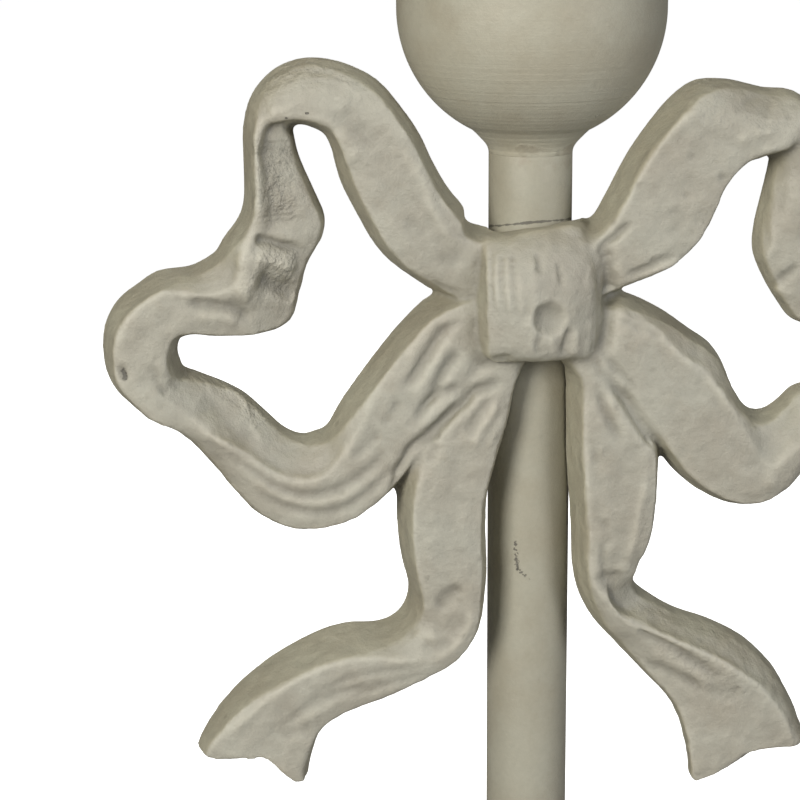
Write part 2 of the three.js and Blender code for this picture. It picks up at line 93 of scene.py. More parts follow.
def scaleColour(tree, colour, factor, least, most):
    # a factor of -1 to 1 makes the colour darker or lighter
    scale = mapRange(tree, factor, (-1, 1), (least, most))
    return addNode(tree, "VectorMath", {0: colour, "Scale": scale}, operation="SCALE").outputs["Vector"]


def attribute(tree, name):
    return addNode(tree, "Attribute", attribute_name=name).outputs["Fac"]


def newMaterial(name, values=None):
    material = bpy.data.materials.new(name)
    material.use_nodes = True
    shader = material.node_tree.nodes["Principled BSDF"]
    for label, value in (values or {}).items():
        shader.inputs[label].default_value = value
    return material, material.node_tree, shader.inputs


def deselect():
    if bpy.context.object and bpy.context.object.mode != "OBJECT":
        bpy.ops.object.mode_set(mode="OBJECT")
    bpy.ops.object.select_all(action="DESELECT")


def pick(*pieces):
    deselect()
    for piece in pieces:
        piece.select_set(True)
    bpy.context.view_layer.objects.active = pieces[0]


viewSettings = {
    "aim": (-22.1, 0.0, 250.0),  # mm
    "azimuth": -5.0,
    "elevation": 13.5,
    "distance": 400.0,
    "roll": -0.33,
    "lens": 105.75,
    "sensor": 36.0,
    "seenDepth": (0.01, 40),  # metres
}
lightSettings = {
    "left": {"place": (-600, -840, 560), "size": (340, 420), "power": 9.5, "tint": (1.0, 0.97, 0.9)},
    "right": {"place": (690, -740, 590), "size": (320, 420), "power": 4.3, "tint": (0.97, 0.98, 1.0)},
    "top": {"place": (-100, -200, 1150), "size": (600, 600), "power": 1.7, "tint": (1.0, 1.0, 0.97)},
    "behind": {"place": (0, 1100, 620), "size": (520, 520), "power": 6.5, "tint": (1.0, 0.99, 0.96)},
    "target": (0, 0, 250),  # mm, where the four lamps are turned to
    "sky": 0.003,
}
floorValues = {
    "radius": 9,  # metres
    "roughness": 0.8,
    "colour": (0.86, 0.86, 0.85),  # as the camera sees it
    "bounce": 0.22,  # how pale it is to the light that it throws back
    "nearGlow": 0.5,  # how bright it is to the camera near the foot, and further away
    "farGlow": 1.0,
    "glowReach": (0.12, 0.42),  # metres from the stem
}


def cameraAxes():
    a, e, r = (math.radians(viewSettings[name]) for name in ("azimuth", "elevation", "roll"))
    back = Vector((math.sin(a) * math.cos(e), -math.cos(a) * math.cos(e), math.sin(e)))
    right = (-back).cross(Vector((0, 0, 1))).normalized()
    up = right.cross(-back)
    tilted = right * math.cos(r) + up * math.sin(r)
    raised = up * math.cos(r) - right * math.sin(r)
    place = (Vector(viewSettings["aim"]) + back * viewSettings["distance"]) * mm
    return place, tilted, raised, back


cameraPlace, cameraRight, cameraUp, cameraBack = cameraAxes()


def makeCamera():
    data = bpy.data.cameras.new("photoCamera")
    data.lens = viewSettings["lens"]
    data.sensor_width = viewSettings["sensor"]
    data.clip_start, data.clip_end = viewSettings["seenDepth"]
    camera = bpy.data.objects.new("photoCamera", data)
    bpy.context.scene.collection.objects.link(camera)
    turn = Matrix((cameraRight, cameraUp, cameraBack)).transposed().to_4x4()
    camera.matrix_world = Matrix.Translation(cameraPlace) @ turn
    bpy.context.scene.camera = camera


def makeLights():
    target = Vector(lightSettings["target"]) * mm
    for name in ("left", "right", "top", "behind"):
        values = lightSettings[name]
        data = bpy.data.lights.new(name + "SoftBox", "AREA")
        data.shape = "RECTANGLE"
        data.size = values["size"][0] * mm
        data.size_y = values["size"][1] * mm
        data.energy = values["power"]
        data.color = values["tint"]
        lamp = bpy.data.objects.new(name + "SoftBox", data)
        bpy.context.scene.collection.objects.link(lamp)
        lamp.location = Vector(values["place"]) * mm
        lamp.rotation_euler = (target - lamp.location).to_track_quat("-Z", "Y").to_euler()
        lamp.visible_glossy = name != "behind"


def makeWorld():
    # white to the camera, and nearly dark to the piece
    world = bpy.data.worlds.new("studio")
    bpy.context.scene.world = world
    world.use_nodes = True
    tree = world.node_tree
    tree.nodes.clear()
    white = (1, 1, 1, 1)
    seen = addNode(tree, "Background", {"Color": white}).outputs[0]
    lit = addNode(tree, "Background", {"Color": white, "Strength": lightSettings["sky"]}).outputs[0]
    ray = addNode(tree, "LightPath").outputs["Is Camera Ray"]
    mix = addNode(tree, "MixShader", {0: ray, 1: lit, 2: seen}).outputs[0]
    addNode(tree, "OutputWorld", {"Surface": mix})


def makeFloor():
    v = floorValues
    deselect()
    bpy.ops.mesh.primitive_circle_add(vertices=96, radius=v["radius"], fill_type="NGON", location=(0, 0, 0))
    floor = bpy.context.object
    floor.name = "floor"
    material, tree, shader = newMaterial("whiteFloor", {"Roughness": v["roughness"], "Emission Color": (1, 1, 1, 1)})
    ray = addNode(tree, "LightPath").outputs["Is Camera Ray"]
    reach = addNode(tree, "VectorMath", {0: objectPlace(tree)}, operation="LENGTH").outputs["Value"]
    glow = mapRange(tree, reach, v["glowReach"], (v["nearGlow"], v["farGlow"]), "SMOOTHSTEP")
    tree.links.new(calculate(tree, "MULTIPLY", ray, glow), shader["Emission Strength"])
    tree.links.new(blendColour(tree, ray, (v["bounce"],) * 3, v["colour"]), shader["Base Color"])
    floor.data.materials.append(material)


makeCamera()
makeLights()
makeWorld()
makeFloor()
bpy.context.scene.view_settings.view_transform = "Standard"
print("view, light and floor are set")

castValues = {  # scale, detail and roughness of each noise, and what is made of it
    "grain": (1700, 4, 0.7),
    "lumps": (260, 2, 0.5),
    "patch": (85, 3, 0.6),
    "stain": (140, 5, 0.72),
    "speck": (1100, 3, 0.75),
    "pitted": (120, 1, 0.5),
    "grainHeight": 0.00016,  # metres
    "lumpHeight": 0.0004,
    "pitDepth": 0.00012,
    "pitScale": 210,
    "pitSteepness": 5.5,
    "pittedAbove": 0.56,
    "stainAbove": 0.56,
    "stainContrast": 7.0,
    "speckContrast": 3.0,
}
markValues = {
    "noise": (3, 0.6),
    "middle": 0.3,  # how much more of a mark there is on its line than at its edge
    "threshold": 0.12,
    "rim": 4.0,  # how fast a mark ends at its half width
}
paintValues = {
    "light": (0.438, 0.426, 0.362),
    "dark": (0.398, 0.374, 0.312),
    "turnedLight": (0.438, 0.424, 0.345),
    "turnedDark": (0.402, 0.376, 0.295),
    "roughness": (0.44, 0.58),
    "patchReach": (0.35, 0.65),  # noise levels between which a patch goes from dark to light
    "pitted": (0.2, 0.185, 0.15),
    "stained": (0.3, 0.255, 0.19),
    # the dark colour of chips, also used for the painted contact shade where the bow meets the stem
    "chipsAndContactShade": (0.1, 0.095, 0.082),
    # small raised paint beads, coloured light as a painted glint
    "paintedBeadGlint": (0.6, 0.58, 0.5),
    "pitShare": 0.4,  # how much of its colour a pit, a stain and the painted contact shade show
    "stainShare": 0.22,
    "contactShadeShare": 0.8,
    "speck": (0.93, 1.07),
    "strokeShadeAndHighlight": (0.87, 1.08),  # painted shade in a groove and painted highlight on a ridge of the strokes: how dark and how light
    "edgeShadeAndHighlight": (0.8, 1.2),  # the same painted shade and highlight for the small creases and edges of the mesh
    # painted shade of the side walls: darker and yellower than the front faces
    "paintedWallShade": (0.98, 0.965, 0.88),
    "rubble": (560, 3, 0.62),
    "rubbleHeight": 0.0014,
    "contactShadeNoise": (420, 3, 0.6),
    "contactShadeSharpness": 9000,
    "ringNoise": {"Scale": 1500, "Detail": 3, "Roughness": 0.6},
    "ringLevels": (0.302, 0.313),  # metres, where the turning rings begin to fade and where they are faint
    "ringRest": 0.2,
}
chippedLook, softLook = (9.0, 0.86), (4.0, 0.4)  # sharpness of a mark and its share of the colour
# marks at one place: from, to and half width in metres, scale of their grain, how little they cover,
# colour and height
stemMarks = [
    ((-0.0032, -0.0065, 0.2262), (-0.0027, -0.0065, 0.2212), 0.0006, 2200, 0.5, "chipsAndContactShade", -0.00004),
    ((-0.0026, -0.0065, 0.2214), (-0.0005, -0.0065, 0.2194), 0.0006, 2400, 0.52, "chipsAndContactShade", -0.00004),
    ((-0.0015, -0.0065, 0.2915), (0.006, -0.004, 0.2905), 0.0022, 500, 0.46, "stained", 0.00003),
]
cupMarks = [
    ((-0.002, -0.007, 0.2935), (0.0066, -0.004, 0.2925), 0.0018, 420, 0.42, "stained", 0.00012),
    ((0.0018, -0.0065, 0.2905), (0.0052, -0.005, 0.2945), 0.0009, 900, 0.4, "pitted", -0.00004),
    ((0.0066, -0.005, 0.2955), (0.0088, -0.004, 0.2959), 0.0005, 900, 0.25, "chipsAndContactShade", -0.00004),
    # raised paint beads with a painted glint
    ((0.0056, -0.005, 0.2948), (0.0058, -0.005, 0.2949), 0.0006, 900, 0.2, "paintedBeadGlint", 0.0002),
    ((0.0002, -0.0071, 0.295), (0.0003, -0.0071, 0.295), 0.0004, 900, 0.2, "paintedBeadGlint", 0.0002),
    ((0.0092, -0.0115, 0.2991), (0.0093, -0.0115, 0.2991), 0.0004, 900, 0.2, "paintedBeadGlint", 0.0002),
]
bowMarks = [
    ((-0.0683, -0.01275, 0.2591), (-0.0681, -0.0128, 0.2581), 0.0007, 1700, 0.41, "chipsAndContactShade", -0.0001),
    ((-0.0412, -0.0132, 0.2997), (-0.0411, -0.0132, 0.2996), 0.00028, 2500, 0.1, "chipsAndContactShade", -0.00008),
    ((-0.0380, -0.0132, 0.3005), (-0.0377, -0.0132, 0.3005), 0.0002, 2500, 0.1, "chipsAndContactShade", -0.00008),
]
# painted contact shade, a dark line on the stem where the bow meets it: normal of the slanted plane, its level and
# half the line's width in metres
bowContactShade = ((-0.07, 0.17, 1), 0.28008, 0.00025)


def newGroup(name, inputs, outputs):
    group = bpy.data.node_groups.new(name, "ShaderNodeTree")
    for label, value in inputs.items():
        kind = "NodeSocketVector" if isinstance(value, tuple) else "NodeSocketFloat"
        group.interface.new_socket(label, in_out="INPUT", socket_type=kind).default_value = value
    for label in outputs:
        group.interface.new_socket(label, in_out="OUTPUT", socket_type="NodeSocketFloat")
    return group, group.nodes.new("NodeGroupInput").outputs, group.nodes.new("NodeGroupOutput").inputs


def makeCastGroup():
    # grain, lumps and small pits of a painted sand casting, in metres of height
    v = castValues
    group, inside, outside = newGroup("castSurface", {"Grain": 0.5, "Lumps": 0.5, "Pits": 0.5},
                                      ("Height", "Pit", "Patch", "Stain", "Speck"))
    times, plus, minus = sums(group)
    place = objectPlace(group)
    fields = ("grain", "lumps", "patch", "stain", "speck", "pitted")
    grain, lumps, patch, stain, speck, pitted = (noiseAt(group, place, *v[name]) for name in fields)
    gap = addNode(group, "TexVoronoi", {"Vector": place, "Scale": v["pitScale"]}).outputs["Distance"]
    chosen = calculate(group, "GREATER_THAN", pitted, v["pittedAbove"])
    pit = times(minus(1.0, times(gap, v["pitSteepness"]), True), chosen)
    height = plus(times(times(grain, inside["Grain"]), v["grainHeight"]),
                  times(times(lumps, inside["Lumps"]), v["lumpHeight"]))
    made = {
        "Height": minus(height, times(times(pit, inside["Pits"]), v["pitDepth"])),
        "Pit": pit,
        "Patch": patch,
        "Stain": times(minus(stain, v["stainAbove"]), v["stainContrast"], True),
        "Speck": times(minus(speck, 0.5), v["speckContrast"]),  # -1 to 1 round the middle of the noise
    }
    for label, value in made.items():
        group.links.new(value, outside[label])
    return group


def makeMarkGroup():
    # a mask round the line between two places, broken up by noise
    v = markValues
    inputs = {"From": (0, 0, 0), "To": (0, 0, 0), "Width": 0.001, "Grain": 900.0, "Cover": 0.5, "Edge": 9.0}
    group, inside, outside = newGroup("localMark", inputs, ("Mask",))
    times, plus, minus = sums(group)

    def vector(operation, a, b=None, scale=None, out="Vector"):
        return addNode(group, "VectorMath", {0: a, 1: b, "Scale": scale}, operation=operation).outputs[out]

    place = objectPlace(group)
    way = vector("SUBTRACT", inside["To"], inside["From"])
    reach = vector("SUBTRACT", place, inside["From"])
    share = calculate(group, "DIVIDE", vector("DOT_PRODUCT", reach, way, out="Value"),
                      vector("DOT_PRODUCT", way, way, out="Value"), True)
    gap = vector("LENGTH", vector("SUBTRACT", reach, vector("SCALE", way, scale=share)), out="Value")
    near = minus(1.0, calculate(group, "DIVIDE", gap, inside["Width"]), True)
    lifted = plus(noiseAt(group, place, inside["Grain"], *v["noise"]), times(near, v["middle"]))
    mask = times(minus(lifted, plus(inside["Cover"], v["threshold"])), inside["Edge"], True)
    group.links.new(times(mask, times(near, v["rim"], True)), outside["Mask"])
    return group


castGroup = makeCastGroup()
markGroup = makeMarkGroup()


def makePaint(name, grain, lumps, pits, rings=0.0, carved=False, marks=(), contactShade=None, paintedLightLevel=1.0):
    v = paintValues
    material, tree, shader = newMaterial(name)
    times, plus, minus = sums(tree)
    place = objectPlace(tree)
    cast = addNode(tree, "Group", {"Grain": grain, "Lumps": lumps, "Pits": pits}, node_tree=castGroup).outputs
    dark, light = ("dark", "light") if carved else ("turnedDark", "turnedLight")
    colour = ramp(tree, cast["Patch"], *zip(v["patchReach"], (v[dark], v[light])))
    colour = blendColour(tree, times(cast["Pit"], v["pitShare"] * pits), colour, v["pitted"])
    colour = blendColour(tree, times(cast["Stain"], v["stainShare"]), colour, v["stained"])
    # the last value makes the whole piece lighter or darker, as painted light and shade
    colour = scaleColour(tree, colour, cast["Speck"], *(share * paintedLightLevel for share in v["speck"]))
    height = cast["Height"]
    if carved:  # painted shade in the grooves and creases, painted highlight on the ridges and edges
        for what in ("strokeShadeAndHighlight", "edgeShadeAndHighlight"):
            colour = scaleColour(tree, colour, attribute(tree, what), *v[what])
        # painted shade: side walls turned from the front are darker and yellower
        wallShadedColour = addNode(tree, "VectorMath", {0: colour, 1: v["paintedWallShade"]}, operation="MULTIPLY").outputs["Vector"]
        colour = blendColour(tree, attribute(tree, "wall"), colour, wallShadedColour)
        rubble = noiseAt(tree, place, *v["rubble"])
        height = plus(height, times(attribute(tree, "grit"), times(rubble, v["rubbleHeight"])))
    for start, end, width, size, cover, tone, raised in marks:
        edge, share = chippedLook if tone == "chipsAndContactShade" else softLook
        values = {"From": start, "To": end, "Width": width, "Grain": size, "Cover": cover, "Edge": edge}
        mask = addNode(tree, "Group", values, node_tree=markGroup).outputs["Mask"]
        colour = blendColour(tree, times(mask, share), colour, v[tone])
        height = plus(height, times(mask, raised))
    if contactShade:  # painted shade: a dark uneven line round the tube where the bow meets it
        normal, level, width = contactShade
        slant = addNode(tree, "VectorMath", {0: place, 1: normal}, operation="DOT_PRODUCT").outputs["Value"]
        gap = calculate(tree, "ABSOLUTE", minus(slant, level))
        reach = times(minus(noiseAt(tree, place, *v["contactShadeNoise"]), 0.3, True), width * 4)
        line = times(minus(reach, gap), v["contactShadeSharpness"], True)
        colour = blendColour(tree, times(line, v["contactShadeShare"]), colour, v["chipsAndContactShade"])
    if rings:
        level = addNode(tree, "SeparateXYZ", {0: place}).outputs["Z"]
        turned = addNode(tree, "TexNoise", {"W": level, **v["ringNoise"]}, noise_dimensions="1D").outputs["Fac"]
        fade = mapRange(tree, level, v["ringLevels"], (rings, rings * v["ringRest"]))
        height = plus(height, times(turned, fade))
    bump = addNode(tree, "Bump", {"Strength": 1.0, "Distance": 1.0, "Height": height})
    tree.links.new(colour, shader["Base Color"])
    tree.links.new(bump.outputs[0], shader["Normal"])
    tree.links.new(mapRange(tree, cast["Patch"], (0.3, 0.7), v["roughness"]), shader["Roughness"])
    return material


bowPaint = makePaint("bowPaint", 1.0, 1.0, 1.0, carved=True, marks=bowMarks)
turnedPaint = makePaint("turnedPaint", 0.5, 0.15, 0.4, rings=0.00004)
# the cup is painted lighter and the stem darker than the other turned pieces: painted light and painted shade
cupPaint = makePaint("cupPaint", 0.5, 0.15, 0.4, rings=0.0001, marks=cupMarks, paintedLightLevel=1.08)
stemPaint = makePaint("stemPaint", 0.5, 0.1, 0.5, marks=stemMarks, contactShade=bowContactShade, paintedLightLevel=0.94)
footPaint = makePaint("footPaint", 0.7, 0.4, 0.6)

steelValues = {"metallic": 0.6, "dark": (0.46, 0.47, 0.48), "light": (0.6, 0.61, 0.62), "roughness": (0.35, 0.5)}
feltValues = {"dark": (0.025, 0.025, 0.027), "light": (0.07, 0.07, 0.073), "roughness": 0.95, "sheen": 0.3,
              "hair": (2600, 3, 0.5, 2), "hairHeight": 0.0002, "hairStrength": 0.6}


def makeSteel():
    v = steelValues
    material, tree, shader = newMaterial("zincSteel", {"Metallic": v["metallic"]})
    patch = addNode(tree, "Group", node_tree=castGroup).outputs["Patch"]
    stops = zip(paintValues["patchReach"], (v["dark"], v["light"]))
    tree.links.new(ramp(tree, patch, *stops), shader["Base Color"])
    tree.links.new(mapRange(tree, patch, (0, 1), v["roughness"]), shader["Roughness"])
    return material


def makeFelt():
    v = feltValues
    material, tree, shader = newMaterial("darkFelt", {"Roughness": v["roughness"], "Sheen Weight": v["sheen"]})
    hair = noiseAt(tree, objectPlace(tree), *v["hair"])
    tree.links.new(ramp(tree, hair, (0.3, v["dark"]), (0.7, v["light"])), shader["Base Color"])
    bump = addNode(tree, "Bump", {"Strength": v["hairStrength"], "Distance": v["hairHeight"], "Height": hair})
    tree.links.new(bump.outputs[0], shader["Normal"])
    return material


steelFinish = makeSteel()
feltFinish = makeFelt()
print("finishes are made")


def setFinish(piece, material):
    piece.data.materials.clear()
    piece.data.materials.append(material)


def finishPiece(piece, material, body, slot, *nodes):
    setFinish(piece, material)
    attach(piece, body)
    if nodes:
        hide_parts(*nodes)


for name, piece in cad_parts.items():
    if name.startswith("foot_pad"):
        setFinish(piece, feltFinish)
    elif name.endswith(("screw", "washer", "plug")):
        setFinish(piece, steelFinish)
    elif name in ("stem_tube", "candle_cup", "candle_nozzle", "base_collar"):
        setFinish(piece, turnedPaint)
    elif name == "base_foot":
        setFinish(piece, footPaint)

bowValues = {
    "front": 13.0,  # mm, from the stem's axis to the ribbons' front face
    "back": 2.5,
    "draft": 13.0,
    "backRounding": 1.1,
    "knotHeight": 270.0,
    "crown": 0.45,
    "crownShape": ((0, 0.6), (0.5, 1), (0.75, 0.72), (1, 0)),
    "sideBulge": 0.35,
    "fullness": 0.3,  # makes up for what smoothing takes off the edges
    "stepsPerStation": 3,
    "frontPoints": 9,  # points of a ring on the front face, the middle one on the crest
    "voxel": 0.42,
    "smoothing": 4,
    "triangles": 190000,
    "saddle": 7.3,
    "tailThinning": 3.0,
    "thinStations": 3,  # the last places of a tail, over which its back gets thinner
    "endRounding": ((0.0, 1.5), (0.12, 0.9), (0.4, 0.42), (0.85, 0.12), (1.5, 0.0)),
    # one table for each ribbon: place along it or across its end, and mm
    "leftNotch": ((0, 0), (0.25, 2.0), (0.55, 4.9), (0.69, 4.5), (0.82, 2.2), (1, 0)),
    "rightNotch": ((0, 0), (0.28, 1.2), (0.47, 3.6), (0.62, 3.4), (0.8, 1.7), (1, 0)),
    "leftFlare": ((1.5, 0), (2.4, 2.0), (3, 2.8), (3.6, 1.8), (4.3, 0.2), (7, 0), (9, 1.5), (11, 2.1), (13, 1.1),
                  (15, 0.2), (17, 0)),
    "rightFlare": ((0, 0.1), (10, 0.1), (12, -1.0), (13, -1.8), (15, -2.2)),
    "leftRoll": ((6, 0), (7, 1), (11, 1), (12, 0.3), (16, 0)),
    "rightRoll": ((6, 0), (7, 1), (16, 1), (18, 0)),
}

# places along a ribbon: outer edge x, z, inner edge x, z, how far the two edges lie behind the front
# face, where between them the crest runs, and how far behind it lies; what a place leaves out at its
# end is as on a flat ribbon
flatPlace = (0, 0, 0.5, 0)
leftLoop = [
    (-2, 7, -4, -4), (-11.4, 9, -14.2, 0.4, 0.5, 1.5, 0.5, 0.3), (-13.3, 12.1, -20.8, 4.7, 0, 0.5),
    (-16.3, 15.9, -24.8, 8.8), (-18.9, 20.5, -28, 14.6), (-20.8, 24.6, -30, 18.6), (-23.6, 28.8, -31.3, 22.3),
    (-27.1, 33.3, -32.3, 25.2, 1.2, 0, 0.7), (-32.1, 36.3, -34.1, 28, 3.2, 0.2, 0.85),
    (-37.3, 37.4, -37, 29.3, 4.8, 0.3, 0.9), (-42, 35.8, -39.3, 29.5, 4.4, 0.5, 0.85),
    (-45, 32, -41.1, 28.6, 2.6, 1.4, 0.7, 0.3), (-45.8, 27.3, -40.7, 26.2, 0.5, 4.2, 0.28, 2.6),
    (-45.8, 21.5, -39.9, 22, 0.3, 3.8, 0.3, 2), (-45.8, 16.6, -37.8, 17, 0.3, 3.6, 0.28, 2),
    (-46.4, 13.4, -36, 12.5, 0.3, 3.6, 0.28, 2.2), (-47.8, 11, -36.7, 9, 0.6, 3.8, 0.14, 0.6),
    (-49.7, 8.6, -38.9, 5, 1.2, 4.2, 0.14, 0.2), (-51.3, 6.4, -40.1, 0.4, 2.6, 4.8, 0.21, 0.2),
    (-53.3, 5.1, -41.6, -4, 3.6, 4.6, 0.27, 0.3), (-55.9, 3.7, -46.9, -5.6, 3.2, 2.5, 0.26, 0.2),
    (-58.5, 2.9, -53.3, -5.3, 1.8, 1, 0.18), (-61.5, 2, -57.6, -4.8, 0, 0.3), (-64.5, 0.1, -60, -5.4),
    (-67.4, -2.1, -61, -6.8), (-69.3, -5.7, -61.5, -8.4), (-69.55, -10, -61.5, -10),
    (-68.7, -13.6, -60.9, -11.8, 0, 0.5), (-66.2, -16.6, -60, -13.1, 0, 2),
    (-63.3, -19.2, -57.9, -13.7, 0, 4, 0.5, 0.5), (-59.8, -21, -55, -14.7, 1, 5, 0.35, 0.8),
    (-56.8, -23.6, -51.6, -16, 2.5, 6, 0.3, 0.3), (-53.6, -27.4, -48.7, -17.8, 2.5, 6, 0.36),
    (-50, -32, -45.4, -21, 2, 5.5, 0.42), (-45.8, -36.1, -42.3, -24, 1.2, 5),
    (-40.8, -38.3, -39.3, -25.4, 0.6, 4.5, 0.58), (-35.8, -38.2, -36.8, -25.2, 0.3, 3.5, 0.6),
    (-30.8, -36.6, -34.4, -24.4, 0.2, 2.5, 0.65), (-25.8, -32.9, -32.1, -21.4, 0.2, 1, 0.7),
    (-20.6, -26.4, -29.4, -18.1, 0.3), (-15.3, -19.4, -24.7, -11.8, 0.3), (-12, -13.8, -20.1, -6.4, 0.3),
    (-9.5, -10, -15, -2.3, 0.3), (-3, -8, -4, 1),
]
rightLoop = [
    (2, 7, 4, -3), (9.6, 9, 13.4, 1.2, 0.5, 1, 0.5, 0.3), (13.2, 13.3, 20.5, 4, 0, 0.5),
    (15.5, 17.5, 25.5, 8.2), (17.7, 21.4, 28.1, 12.8), (20.8, 25.8, 29.8, 16.8), (23.9, 29.5, 31.8, 19.7),
    (27.6, 32.4, 34.1, 21.8, 1.4, 0, 0.75), (32.6, 32.8, 36.6, 22.8, 3.6, 0, 0.85),
    (38, 31.6, 38.8, 23.4, 4.8, 0, 0.88), (42.8, 30.8, 40.9, 23.6, 4, 0.8, 0.8, 0.3),
    (46.2, 27, 40.8, 22.7, 1.6, 3.5, 0.45, 1.2), (46.3, 21.4, 40.1, 19.4, 0.5, 5.5, 0.3, 2.4),
    (46, 16.2, 39.2, 15, 0.3, 5.5, 0.3, 2.4), (46, 12, 38.2, 10.4, 0.3, 5.5, 0.3, 2.4),
    (47, 9.4, 38.2, 6, 0.3, 4, 0.3, 3), (48.8, 7.2, 39.9, 1.7, 0, 4, 0.3, 3),
    (51, 5.2, 42.2, -2.4, 0, 4.5, 0.35, 3.5), (53.6, 3.8, 45, -5.8, 0.5, 4.5, 0.35, 3.5),
    (56.6, 2.8, 50.2, -6.4, 0.3, 2.5, 0.4, 1.5), (60, 2.4, 55.2, -6.2, 0, 1, 0.4, 1),
    (63.4, 1.4, 58.6, -6.4, 0, 0.3), (66.4, -0.6, 60.4, -7), (68.5, -3.6, 61.4, -8.4),
    (69.4, -7.4, 61.7, -10.2), (69, -11.4, 61.3, -12, 0, 0.5), (67.4, -15, 60.2, -13.6, 0, 1),
    (64.4, -18, 58.4, -14.6, 0, 2.5), (60.6, -20.2, 56, -15.2, 0.5, 4, 0.45, 0.3),
    (57, -21.8, 53, -15.8, 1.5, 5, 0.35, 0.5), (53.6, -23.8, 50.2, -16.8, 2.5, 5.5, 0.33, 0.3),
    (50, -26.8, 47.8, -18.2, 2.5, 5.5, 0.38), (46.2, -30.4, 44.7, -19.3, 2, 5, 0.42),
    (42.6, -33.9, 42.2, -21.7, 1.2, 4.5, 0.45), (38.4, -36.3, 39.4, -23.6, 0.6, 3),
    (33.8, -36.1, 36.3, -23.1, 0.3, 2.2, 0.82), (29.4, -34, 33.7, -19.2, 0.2, 2.8, 0.84),
    (25.6, -30.8, 31.9, -15.1, 0.2, 3.2, 0.81), (22.8, -27.4, 29.5, -11.5, 0.2, 3.2, 0.79),
    (19.8, -23.4, 25.9, -9, 0.3, 3.0, 0.8), (16.6, -19, 21.8, -6.2, 0.3, 2.4, 0.81),
    (13.4, -14.5, 17.3, -3.9, 0.3, 1.5, 0.8), (10, -11, 12.4, -2.2, 0.3, 0.5), (3, -8, 3, 1),
]
leftTail = [
    (-8, -7, -1, -7), (-12, -14.5, -4.6, -15, 0.5, 0.3), (-15.9, -20.9, -6, -21.5, 0.3, 0.3),
    (-19.3, -27.6, -8, -28), (-20.6, -34, -9.6, -34.5), (-20.8, -40.5, -10, -40.5), (-20.2, -46.6, -9.8, -47),
    (-19.2, -51.4, -10, -52.8, 0.3, 0, 0.5, 0.5), (-19.4, -55.2, -10.8, -57.8, 1.5, 0, 0.5, 1),
    (-21.2, -58.2, -13.2, -61.6, 2.5, 0.3, 0.45, 0.5), (-24.3, -60, -17.2, -64.8, 2, 0.5, 0.4, 0.2),
    (-28.8, -61.2, -24, -67.8, 1, 0.5, 0.4), (-33.5, -62, -29.6, -69.9, 0.5, 0.5, 0.4),
    (-38.2, -63.5, -33.8, -71.6, 0.3, 0.5, 0.4), (-43.3, -65.9, -36.8, -73.6, 0.2, 0.3, 0.4),
    (-48.6, -68.9, -38.6, -76.2), (-53, -73, -39.7, -79.7, 0, 0, 0.55), (-57.3, -79, -40.7, -84.2, 0.2, 0, 0.6),
]
rightTail = [
    (1, -7, 8, -7), (7, -14, 12.3, -14.2, 0.3, 0.5), (7.7, -19.5, 15.3, -19.8, 0, 0.3), (7.9, -26, 19, -25.4),
    (8.3, -32, 19.5, -32), (8.8, -38, 19.2, -38.4), (9.1, -43.5, 18.3, -43.8, 0, 0.5, 0.5, 0.3),
    (9.2, -48.4, 16.6, -48, 0.5, 1.5, 0.45, 0.6), (10, -53.2, 16.4, -52, 1.5, 3.5, 0.38),
    (12.5, -58, 19.6, -54.8, 2, 5, 0.4), (16.3, -62.4, 24.4, -57.7, 2.5, 5.5, 0.62),
    (20.1, -67.1, 30.4, -60, 2, 5.5, 0.7), (24.1, -71.5, 36.4, -63.4, 1.5, 5, 0.75),
    (26, -76.2, 41.3, -68, 0.8, 4.5, 0.82), (27, -81.2, 44.8, -74, 0.3, 3.4, 0.89),
    (27.6, -86.9, 47, -80.7, 0.3, 1.6, 0.92),
]
knotBand = [
    (-7.6, -10.6, 7.2, -10.6, -1.6, -1, 0.45, -2.4), (-8.6, -9.4, 8.5, -9.4, -3, -1.4, 0.45, -4.3),
    (-9.2, -7, 8.3, -7, -3.9, -1.9, 0.42, -5.4), (-9.4, -2, 8.6, -2, -4.3, -2.2, 0.42, -5.9),
    (-9.3, 2, 8.5, 2, -4.2, -2.2, 0.42, -5.7), (-9.2, 5.2, 7.9, 5.6, -3.3, -1.5, 0.42, -4.7),
    (-9.1, 7.6, 7.2, 8.4, -1.7, -0.4, 0.45, -2.9), (-9, 9.1, 6.8, 10.4, -0.2, 1.0, 0.45, -1),
    (-8.8, 9.7, 6.6, 11.8, 1.3, 2.4, 0.5, 0.9),
]

